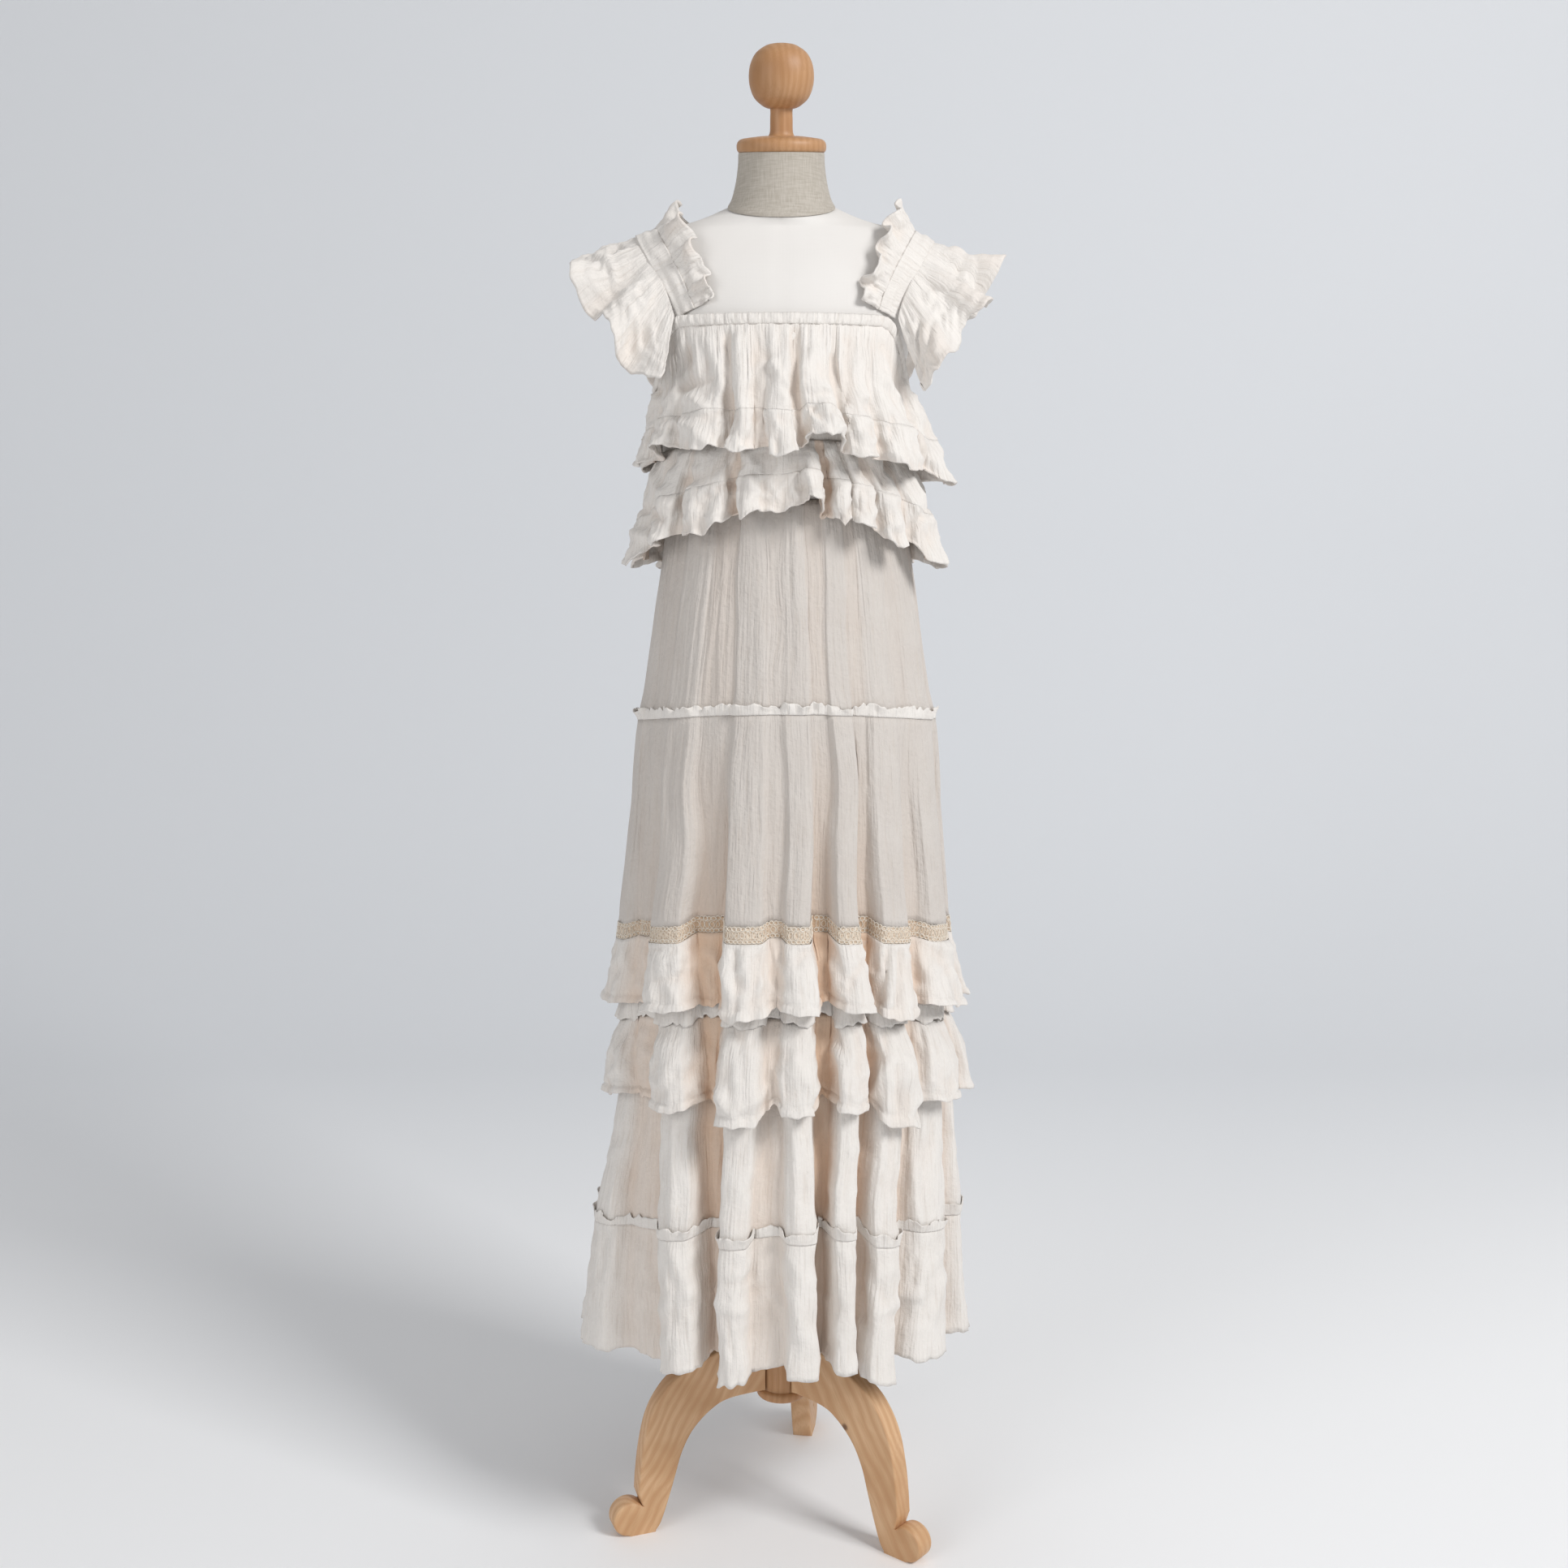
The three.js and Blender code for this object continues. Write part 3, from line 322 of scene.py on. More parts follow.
# Rows of points lie closer at the foot's turned-in edge and over the shoulders
levels = np.concatenate([[915, 917, 921, 926], np.linspace(932, 1560, 90),
                         np.linspace(1563, NECK_SEAM_Z, 22)])
around = np.arange(TORSO_SIDES) / TORSO_SIDES * 360
rings = torso_point(around[None, :], levels[:, None], 0.0)
from_seam = np.abs(rings[..., 0])
trough = SEAM_TROUGH["depth"] * np.exp(-(from_seam / SEAM_TROUGH["half"]) ** 2)
rings[..., 1] -= np.sign(rings[..., 1]) * trough
torso = stacked("canvas_torso", rings, canvas)
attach(torso, "root")
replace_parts(torso, "form_torso")

# Neck: a stuffed stub covered in grey-beige linen, its foot turned under and sewn to the torso
# along a tilted seam that dips at the front. It leans a little forward under its wooden cap.
NECK_LEAN = math.radians(10)
NECK_TOP_Z = 1666
NECK_RADIUS, NECK_FOOT_RADIUS = 49.5, 55
SEAM_GAP = 0.3
lean = np.array([[1, 0, 0], [0, math.cos(NECK_LEAN), -math.sin(NECK_LEAN)],
                 [0, math.sin(NECK_LEAN), math.cos(NECK_LEAN)]])

# Unbleached linen: warm grey, matt, with slubs a few centimetres long lying round the neck and
# a loose plain weave, here 1.4 mm a thread instead of 0.8.
linen, tree = new_material("linen_unbleached")
place = put(tree, "ShaderNodeTexCoord").outputs["Object"]
flat_wise = put(tree, "ShaderNodeVectorMath", {0: place, 1: (60.0, 60.0, 700.0)}, operation="MULTIPLY")
slubs = put(tree, "ShaderNodeTexNoise", {"Vector": flat_wise.outputs[0], "Scale": 1.0, "Detail": 3.0})
up_wise = put(tree, "ShaderNodeVectorMath", {0: place, 1: (700.0, 700.0, 50.0)}, operation="MULTIPLY")
ends = put(tree, "ShaderNodeTexNoise", {"Vector": up_wise.outputs[0], "Scale": 1.0, "Detail": 3.0})
weave = put(tree, "ShaderNodeMath", {0: slubs.outputs["Fac"], 1: ends.outputs["Fac"]}, operation="ADD")
share = put(tree, "ShaderNodeMapRange", {"Value": weave.outputs[0], 1: 0.7, 2: 1.3, 3: 0.0, 4: 1.0})
tone = put(tree, "ShaderNodeMix", {"Factor": share.outputs[0], 6: linear("#A79F93"), 7: linear("#BDB6AC")},
           data_type="RGBA")
relief = put(tree, "ShaderNodeBump", {"Strength": 0.35, "Distance": 0.0004, "Height": weave.outputs[0]})
finish_material(tree, put(tree, "ShaderNodeBsdfPrincipled", {
    "Base Color": tone.outputs[2], "Roughness": 0.9, "Sheen Weight": 0.1, "Normal": relief.outputs[0]}))

neck_top = np.array([0, 0, NECK_TOP_Z])
foot_ring = torso_point(around, np.full(TORSO_SIDES, NECK_SEAM_Z), 0.0)
turn = np.radians(around)
rim = np.stack([NECK_RADIUS * np.sin(turn), -NECK_RADIUS * np.cos(turn), 0 * turn], 1) @ lean.T + neck_top
# Rows up the neck: share of the way, how far it is drawn in, and the roll of its turned foot
neck_rows = table("way draw roll", (0, 0, 1.2), (0.03, 0.004, 1.6), (0.07, 0.012, 0.9), (0.15, 0.024, 0.1),
                  (0.3, 0.041, 0), (0.5, 0.05, 0), (0.7, 0.041, 0), (0.85, 0.023, 0), (0.95, 0.006, 0.2),
                  (1, 0, 0))
rows = between(neck_rows, "way", np.linspace(0, 1, 40))
rings = []
for way, draw, roll in zip(rows["way"], rows["draw"], rows["roll"]):
    ring = foot_ring + (rim - foot_ring) * way
    out = 1 - draw + roll / NECK_FOOT_RADIUS
    rings.append(ring * np.array([out, out, 1]) + np.array([0, 0, SEAM_GAP * (1 - way)]))
neck = stacked("linen_neck", np.array(rings), linen)
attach(neck, "root")
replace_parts(neck, "form_neck")

# Neck cap and finial: a turned disc with a rounded rim closes the neck, and a turned ball on a
# short spindle is doweled into it. Both are pine and lean with the neck.
CAP = ((48.5, 0), (50.2, 0.8), (51.3, 2.6), (51.8, 5.2), (51.8, 8.2), (51.1, 10.8), (49.6, 13), (47, 14.6),
       (44, 15.4), (36, 16.6), (24, 18))
FINIAL = ((15.5, 0), (14.2, 2), (13.2, 6), (13, 18), (13, 29), (16, 30.2), (22, 33), (31, 41), (36, 53),
          (37.3, 66), (35, 79), (28.5, 90), (17, 97.5), (8, 99.6))
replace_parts(turned("pine_neck_cap", CAP, lean, neck_top), "neck_cap")
cap_top = neck_top + lean @ np.array([0, 0, CAP[-1][1]])
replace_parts(turned("pine_finial", through(FINIAL, 5), lean, cap_top), "finial")

# Inner bodice: a plain front and back cut from the dress's cotton gauze and joined at the sides.
# It lies close on the form from the waist seam to the neckline, and the flounces are sewn over it.


def smooth(share):
    """Eased share of the way from 0 to 1."""
    share = np.clip(share, 0, 1)
    return share * share * (3 - 2 * share)


NOISE_CELLS = 97


def noise(u, v, seed):
    """Smooth random heights from -1 to 1 over cells of one unit."""
    lattice = np.random.default_rng(seed).uniform(-1, 1, (NOISE_CELLS, NOISE_CELLS))
    u, v = np.broadcast_arrays(np.asarray(u, float), np.asarray(v, float))
    iu, iv = np.floor(u).astype(int), np.floor(v).astype(int)
    fu, fv = smooth(u - iu), smooth(v - iv)
    iu, iv, ju, jv = (at % NOISE_CELLS for at in (iu, iv, iu + 1, iv + 1))
    low = lattice[iu, iv] * (1 - fu) + lattice[ju, iv] * fu
    high = lattice[iu, jv] * (1 - fu) + lattice[ju, jv] * fu
    return low * (1 - fv) + high * fv


def normals(grid):
    """Directions square to a grid of cloth points, outward."""
    square = np.cross(np.gradient(grid, axis=1), np.gradient(grid, axis=0))
    return square / np.maximum(np.linalg.norm(square, axis=-1, keepdims=True), 1e-9)


EASING_PASSES = 18


def raised(grid, relief):
    """A grid of cloth with a relief on it, square to the cloth but eased where a fold turns sharply."""
    out = normals(grid)
    for _ in range(EASING_PASSES):
        out[:, 1:-1] = (out[:, :-2] + 2 * out[:, 1:-1] + out[:, 2:]) / 4
    return grid + out / np.linalg.norm(out, axis=-1, keepdims=True) * relief[..., None]


def cloth_lengths(grid):
    """Distances along the cloth in millimetres: across its width and up its length."""
    across = np.linalg.norm(np.diff(grid, axis=1), axis=-1).mean(0)
    up = np.linalg.norm(np.diff(grid, axis=0), axis=-1).mean(1)
    return np.concatenate([[0], np.cumsum(across)]), np.concatenate([[0], np.cumsum(up)])


def cut_of(grid):
    """Width and length of the flat piece, in metres: its widest edge laid straight, and its mean depth."""
    width = np.linalg.norm(np.diff(grid, axis=1), axis=-1).sum(1).max()
    length = np.linalg.norm(np.diff(grid, axis=0), axis=-1).sum(0).mean()
    return round(float(width) * MM, 3), round(float(length) * MM, 3)


def shell(name, grid, thick, material, painted_fold_shade=0.0):
    """Thin closed cloth on both sides of a grid of points, rows upward; its last argument gives the painted
    shade of the deep folds.
    """
    rows, columns = grid.shape[:2]
    half = np.broadcast_to(np.asarray(thick, float), (rows, columns))[..., None] / 2
    out = normals(grid) * half
    points = np.vstack([(grid + out).reshape(-1, 3), (grid - out).reshape(-1, 3)]) * MM
    index = np.arange(rows * columns).reshape(rows, columns)
    side = rows * columns
    outer = np.stack([index[:-1, :-1], index[:-1, 1:], index[1:, 1:], index[1:, :-1]], -1).reshape(-1, 4)
    edge = np.concatenate([index[0, :-1], index[:-1, -1], index[-1, :0:-1], index[:0:-1, 0]])
    last = np.roll(edge, -1)
    faces = np.vstack([outer, outer[:, ::-1] + side, np.stack([last, edge, edge + side, last + side], 1)])
    made = bpy.data.meshes.new(name)
    made.vertices.add(len(points))
    made.vertices.foreach_set("co", points.astype(np.float32).ravel())
    made.loops.add(faces.size)
    made.loops.foreach_set("vertex_index", faces.ravel().astype(np.int32))
    made.polygons.add(len(faces))
    made.polygons.foreach_set("loop_start", np.arange(0, faces.size, 4, dtype=np.int32))
    made.polygons.foreach_set("use_smooth", np.ones(len(faces), bool))
    u, v = cloth_lengths(grid)
    cut = np.stack(np.broadcast_arrays(u[None, :], v[:, None]), -1).reshape(-1, 2) * MM
    cut = np.vstack([cut, cut])[faces.ravel()]
    made.uv_layers.new(name="cut").data.foreach_set("uv", cut.astype(np.float32).ravel())
    # Painted shade of the deep folds, kept on every point for the material
    deep = np.tile(np.broadcast_to(np.asarray(painted_fold_shade, float), (rows, columns)).ravel(), 2)
    made.attributes.new("painted_fold_shade", "FLOAT", "POINT").data.foreach_set("value", deep.astype(np.float32))
    made.update(calc_edges=True)
    made.validate()
    made.materials.append(material)
    piece = bpy.data.objects.new(name, made)
    bpy.context.collection.objects.link(piece)
    return piece


def sewn(piece, node, flat, held, rests_on, **more):
    """Attaches a piece of the dress and hides the solid it stands for; its flat cut, how it is held and what
    it lies on are not used.
    """
    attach(piece, "root")
    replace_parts(piece, node)


# Crinkles in the gauze: how far apart and how long, in metres
CRINKLE = (0.0032, 0.045)


def gauze_cloth(name, pale, shade):
    """Crinkled gauze: matt, with fine wavering crinkles down its length every 3 mm, painted shade in thin
    lines along their troughs, and a warm painted shade in deep folds.
    """
    made, tree = new_material(name)
    cut = put(tree, "ShaderNodeUVMap", uv_map="cut").outputs["UV"]
    fine = put(tree, "ShaderNodeVectorMath", {0: cut, 1: (1 / CRINKLE[0], 1 / CRINKLE[1], 1.0)},
               operation="MULTIPLY")
    crinkle = put(tree, "ShaderNodeTexNoise", {
        "Vector": fine.outputs[0], "Scale": 1.0, "Detail": 2.0, "Distortion": 0.35})
    crumple = put(tree, "ShaderNodeTexNoise", {
        "Vector": cut, "Scale": 115.0, "Detail": 3.0, "Roughness": 0.62})
    height = put(tree, "ShaderNodeMath", {0: crumple.outputs["Fac"], 1: 1.0, 2: crinkle.outputs["Fac"]},
                 operation="MULTIPLY_ADD")
    patch = put(tree, "ShaderNodeTexNoise", {"Vector": cut, "Scale": 22.0, "Detail": 2.0})
    tone = put(tree, "ShaderNodeMix", {"Factor": patch.outputs["Fac"], 6: linear(pale), 7: linear(shade)},
               data_type="RGBA")
    # Painted shade: the crinkles' troughs are darkened into thin lines
    crinkle_shade_share = put(tree, "ShaderNodeMapRange", {
        "Value": crinkle.outputs["Fac"], 1: 0.3, 2: 0.46, 3: 0.22, 4: 0.0})
    crinkle_shaded = put(tree, "ShaderNodeMix", {"Factor": crinkle_shade_share.outputs[0], 6: tone.outputs[2], 7: linear("#C0B3A6")},
                data_type="RGBA")
    # Painted shade: deep folds and the troughs of a relief take a warm tan
    painted_fold_shade = put(tree, "ShaderNodeAttribute", attribute_name="painted_fold_shade").outputs["Fac"]
    fold_shaded_tone = put(tree, "ShaderNodeMix", {"Factor": painted_fold_shade, 6: crinkle_shaded.outputs[2], 7: linear("#D5B599")},
               data_type="RGBA")
    relief = put(tree, "ShaderNodeBump", {"Strength": 0.85, "Distance": 0.0018, "Height": height.outputs[0]})
    finish_material(tree, put(tree, "ShaderNodeBsdfPrincipled", {
        "Base Color": fold_shaded_tone.outputs[2], "Roughness": 0.92, "Sheen Weight": 0.12, "Normal": relief.outputs[0]}))
    return made


# Ivory gauze: the gathered flounces, ruffles and lower tiers lie in many folds and look almost white
gauze = gauze_cloth("cotton_gauze_ivory", "#E6E2DD", "#DCD6D0")

# Thickness of the cloth, how far a piece lies above the one under it, and the bodice above the form
CLOTH, LAID_ON, BODICE_EASE = 0.9, 1.7, 4
WAIST_Z = 1268
NECKLINE_Z = 1474
UNDERARM_Z = 1398


def top_edge(heading):
    """Height of the neckline and armhole edge round the bodice."""
    turn = np.abs((heading + 180) % 360 - 180)
    return UNDERARM_Z + (NECKLINE_Z - UNDERARM_Z) * smooth((np.abs(turn - 90) - 4) / 44)


# Front and back stop short of their side seams by a part of a degree
SEAM_TURN = 0.12
HALVES = {"front": (-90 + SEAM_TURN, 90 - SEAM_TURN), "back": (90 + SEAM_TURN, 270 - SEAM_TURN)}
# The plainer back needs fewer rows of points and wider columns
FINENESS = {"front": 1.0, "back": 0.62}
for half, (first, last) in HALVES.items():
    heading = np.linspace(first, last, 60)[None, :]
    way = np.linspace(0, 1, 12)[:, None]
    foot = WAIST_Z + SEAM_GAP
    grid = torso_point(heading, foot + (top_edge(heading) - foot) * way, BODICE_EASE)
    bodice = shell(f"gauze_bodice_{half}", grid, CLOTH, gauze)
    sewn(bodice, f"bodice_{half}", cut_of(grid), "hung", "canvas_torso")

# Lower flounce: a gathered strip sewn round the bodice under the bust, with a second, fuller strip
# along its foot. It hangs in upright pleats over the waist, and its narrow hem curls.

# Feet and shoulders of a fold, in half widths from its middle
FOOT, SHOULDER = 1.18, 0.7
# Fullness of cloth at a seam, how much a wide valley swells, and how wide that is, in degrees
SEAM_LIFT, VALLEY_SWELL, WIDE_VALLEY = 0.04, 0.06, 7
# Cloth in one degree of a row and in the side of a fold, in millimetres, for spacing columns
DEGREE_CLOTH, SIDE_CLOTH = 3.3, 30


def fold_columns(folds, start, end, pitch):
    """Fine columns across a row of folds: foot, shoulder, shoulder and foot of each, valleys between."""
    rows = [(start[0], 0, start[1], 0, 0, SEAM_LIFT, 0, 0)]
    before = 0.0
    for k, (lace, half, hem, hem_half, drop, valley) in enumerate(folds):
        for side, lift in ((-FOOT, before), (-SHOULDER, 1), (SHOULDER, 1), (FOOT, valley)):
            rows.append((lace, half, hem, hem_half, side, lift, drop, k + 1))
        before = valley
        if k + 1 < len(folds):
            after = folds[k + 1]
            lace_gap = lace + FOOT * half, after[0] - FOOT * after[1]
            hem_gap = hem + FOOT * hem_half, after[2] - FOOT * after[3]
            if lace_gap[1] - lace_gap[0] > WIDE_VALLEY:
                rows.append((sum(lace_gap) / 2, 0, sum(hem_gap) / 2, 0, 0, valley + VALLEY_SWELL, 0, k + 1.5))
    rows.append((end[0], 0, end[1], 0, 0, SEAM_LIFT, 0, 0))
    marks = table("lace half hem hem_half side lift drop number", *rows)
    place = marks["lace"] + marks["side"] * marks["half"]
    wide = np.abs(np.diff(place)) * DEGREE_CLOTH + np.abs(np.diff(marks["lift"])) * SIDE_CLOTH
    steps = np.maximum(np.ceil(wide / pitch).astype(int), 2)
    mark = np.concatenate([np.repeat(np.arange(len(steps)), steps), [len(steps) - 1]])
    share = np.concatenate([np.arange(s) / s for s in steps] + [[1.0]])
    ease = smooth(share)
    lift = marks["lift"][mark] * (1 - ease) + marks["lift"][mark + 1] * ease
    top = (marks["lift"][mark] == 1) & (marks["lift"][mark + 1] == 1)
    low = marks["drop"] * marks["lift"]
    drop = low[mark] * (1 - ease) + low[mark + 1] * ease
    return {"marks": marks, "mark": mark, "share": share, "lift": lift, "drop": drop,
            "deep": np.clip(1 - lift, 0, 1), "crown": np.where(top, np.sin(np.pi * share), 0.0)}


LACE_FOOT_Z, LACE_TOP_Z = 741, 763
HEM_Z = 240
# Least turn in degrees between the marks of a row, so that no fold crosses itself
MARKS_APART = 0.9


def heading_at(columns, z, spread=0.0, sway=0.0):
    """Headings of fine columns at heights: folds wander from the lace to the hem, and sway a little."""
    marks = columns["marks"]
    z = np.asarray(z, float).reshape(-1, 1)
    down = np.clip((LACE_FOOT_Z - z) / (LACE_FOOT_Z - HEM_Z), 0, 1)
    centre = marks["lace"] + (marks["hem"] - marks["lace"]) * down
    half = marks["half"] + (marks["hem_half"] - marks["half"]) * down
    wander = noise(z / 85, marks["number"] * 7.3 + 0.4, 5) * sway * (marks["number"] > 0)
    uneven = 1 + 0.9 * sway / 6 * noise(z / 62, np.arange(len(marks["side"])) * 2.7 + 0.3, 6)
    apart = MARKS_APART * np.arange(len(marks["side"]))
    headings = centre + marks["side"] * (half * uneven + spread) + wander
    headings = np.maximum.accumulate(headings - apart, axis=1) + apart
    mark, share = columns["mark"], columns["share"]
    return headings[:, mark] * (1 - share) + headings[:, mark + 1] * share


def round_points(row, heading, lift, drop=0.0):
    """Points of a folded round of cloth: its rows carry the extents, its columns the folds."""
    row = {key: np.asarray(value, float).reshape(-1, 1) for key, value in row.items()}
    angle = np.radians(heading)
    inset = row["fold"] * (1 - lift)
    across = np.where(np.sin(angle) < 0, row["left"], row["right"]) - inset
    depth = np.where(np.cos(angle) > 0, row["front"], row["back"]) - inset
    rise = row["rise"] * np.maximum(np.cos(angle), 0) ** 1.5 - row.get("tip", 0) * np.sin(angle)
    x, y = across * np.sin(angle), -depth * np.cos(angle)
    return np.stack(np.broadcast_arrays(x, y, row["z"] + rise - drop), -1)


def loft(levels, count):
    """Rows of points swept smoothly through a few levels, from the lowest up, closer near the lowest."""
    levels = np.asarray(levels)
    step = np.linalg.norm(np.diff(levels, axis=0), axis=-1).mean(1)
    key = np.concatenate([[0], np.cumsum(step)])
    flat = {f"c{i}": c for i, c in enumerate(levels.reshape(len(levels), -1).T)}
    made = between({"key": key, **flat}, "key", np.linspace(0, 1, count) ** 1.3 * key[-1])
    return np.stack([made[f"c{i}"] for i in range(len(flat))], -1).reshape(count, -1, 3)


# How far from a side seam a random relief dies out, so that front and back meet
SEAM_STILL = 14


def laid_out(grid):
    """Lengths across and up a cloth, shares of a relief left near its sides, and shares of the way up."""
    u, v = cloth_lengths(grid)
    v = v[:, None]
    return u, v, smooth(u / SEAM_STILL) * smooth((u[-1] - u) / SEAM_STILL), v / v[-1]


def gathers(u, v, pitch, length, seed):
    """Gathers that run up a sheet: soft ridges and thin sharp valleys between them."""
    soft = noise(u / pitch, v / length, seed) + 0.5 * noise(u / pitch * 2.1, v / length * 1.7, seed + 1)
    line = noise(u / pitch * 0.8, v / length * 0.6, seed + 2)
    return soft - 0.9 * np.exp(-(line / 0.13) ** 2)


def crumples(u, v, size, seed):
    """Creases in all directions, as in a cloth that was washed and not pressed."""
    slant = noise((u + 0.6 * v) / size, (v - 0.5 * u) / size, seed)
    back = noise((u - 0.7 * v) / size * 1.4, (v + 0.6 * u) / size * 1.4, seed + 1)
    return 0.55 - np.abs(slant) * 1.5 + 0.5 * (0.5 - np.abs(back) * 1.4)


# Strength of the warm painted shade in a relief's troughs
RELIEF_TROUGH_SHADE = 0.03


def relief_trough_shade(relief):
    """How much warm painted shade a relief's troughs take."""
    return RELIEF_TROUGH_SHADE * np.clip(-relief, 0, 3.5)


# Creases are built higher and wider than their tables say, so that they show at this distance
CREASE_GAIN, CREASE_SPREAD = 1.8, 1.2


def creased(grid, rows):
    """Heights of creases placed one by one: soft ridges or troughs along lines in the front view."""
    x, z = grid[..., 0] * np.where(grid[..., 1] < 0, 1, -1), grid[..., 2]
    made = np.zeros(x.shape)
    for x0, z0, x1, z1, depth, wide in rows:
        dx, dz = x1 - x0, z1 - z0
        t = np.clip(((x - x0) * dx + (z - z0) * dz) / (dx * dx + dz * dz), 0, 1)
        apart = (x - x0 - t * dx) ** 2 + (z - z0 - t * dz) ** 2
        made += CREASE_GAIN * depth * np.exp(-apart / (CREASE_SPREAD * wide) ** 2)
    return made


# A turned hem's thickness and a frill's hem depth; nicks in every hem's edge
HEM_THICK, FRILL_HEM = 2.0, 4.5
NICK = {"height": 3.0, "pitch": 8}


def flounce_columns(folds, half):
    """One half of a flounce: its fine columns, their headings and how far each stands out."""
    first, last = HALVES[half]
    rows = [(at, wide, at, wide, drop, valley) for at, wide, drop, valley in folds[half]]
    columns = fold_columns(rows, (first, first), (last, last), 2.5 / FINENESS[half])
    return columns, heading_at(columns, [LACE_FOOT_Z]), columns["lift"] + 0.25 * columns["crown"]


# Share of a fold's drop that shows at the foot seam, and how much each millimetre of a short fold flares
SEAM_DROP, SHORT_FLARE = 0.35, 0.035


def flounce_foot(rounds, columns, heading, lift, dip):
    """Points along a flounce's foot seam and its hem, which flares where a fold is short."""
    seam = round_points(rounds["seam"], heading, lift, SEAM_DROP * columns["drop"])[0]
    flared = lift + SHORT_FLARE * np.maximum(-columns["drop"], 0)
    return seam, round_points(rounds["hem"], heading, flared, columns["drop"] + dip * columns["crown"])[0]


def hung_relief(grid, creases, crumpled, look):
    """Relief of cloth that hangs from a seam, the rise of its uneven hem, and heights above the hem."""
    u, v, still, up = laid_out(grid)
    down = 1 - up
    end = down ** look["ends"]
    gather, crumple, wave, curl, edge, nick = look["seeds"]
    height, pitch, length, fade = look["gather"]
    relief = height * gathers(u, v, pitch, length, gather) * (1 - fade * down)
    relief = relief + crumpled * crumples(u, v, look["crumple"], crumple) + creased(grid, creases)
    for (height, pitch, length), seed, reach in ((look["wave"], wave, down), (look["curl"], curl, end)):
        relief = relief + height * noise(u / pitch, v / length, seed) * reach
    height, pitch = look["edge"]
    rise = height * noise(u / pitch, 0.5, edge) + NICK["height"] * noise(u / NICK["pitch"], 0.5, nick)
    return relief * still * smooth(down * look["hold"]), rise * still * end, v


def foot_frill(flounce, half, panel, hem, columns, creases, crumpled, look):
    """Sews the fuller strip along a flounce's foot, with its narrow turned hem."""
    grid = loft([hem, panel[0]], int(18 * FINENESS[half]))
    relief, rise, v = hung_relief(grid, creases, 1.2 * crumpled, look)
    grid = raised(grid, relief)
    grid[..., 2] += rise
    # Painted shade: warm in the valleys between folds and in the relief's troughs
    deep = look["painted_fold_shade"] * columns["deep"] ** 4 + relief_trough_shade(relief)
    thick = np.where(v < FRILL_HEM, HEM_THICK, CLOTH)
    frill = shell(f"gauze_{flounce}_frill_{half}", grid, thick, gauze, deep)
    sewn(frill, f"{flounce}_frill_{half}", cut_of(grid), "gathered", f"gauze_{flounce}_{half}")


# Folds: heading, half width, how far the hem drops there and how full the valley after it is
FLOUNCE_LOWER_FOLDS = {
    "front": ((-73, 10, 10, 0.3), (-51, 7, 2, 0.25), (-31, 10, 6, 0.1), (-12, 5, -2, 0.55),
              (11, 3.8, -20, -0.3), (22, 3, 0, 0.4), (31, 4, 4, 0.3), (43, 5.5, 10, 0.2), (67, 12, 12, 0)),
    "back": ((104, 9, 8, 0.2), (126, 9, 0, 0.3), (148, 9, 5, 0.1), (169, 8, -8, 0.4), (189, 8, 4, 0),
             (210, 9, 0, 0.3), (233, 9, 8, 0.2), (256, 9, 4, 0)),
}
# Creases: ends x, z and x, z in the front view, height and half width
FLOUNCE_LOWER_CREASES = (
    (-112, 1317, -75, 1321, 1.8, 5), (-106, 1291, -66, 1301, -1.6, 5), (-58, 1321, -57, 1282, -3.0, 4),
    (-39, 1317, -33, 1282, 1.8, 5), (33, 1321, 30, 1291, 2.0, 5), (87, 1319, 96, 1285, -2.2, 4),
    (120, 1321, 115, 1282, -2.2, 4), (146, 1308, 160, 1273, 2.6, 6), (-150, 1296, -128, 1262, 2.6, 5),
    (-168, 1262, -136, 1246, -2.8, 4), (-172, 1232, -140, 1222, 3.0, 5), (172, 1258, 148, 1236, -2.8, 5))
FLOUNCE_LOWER = {
    "seam": dict(z=1246, rise=50, left=172, right=183, front=134, back=124, fold=13),
    "hem": dict(z=1199, rise=54, left=182, right=193, front=143, back=136, fold=20),
}
FLOUNCE_LOWER_TOP = {"z": 1322, "rise": 12}
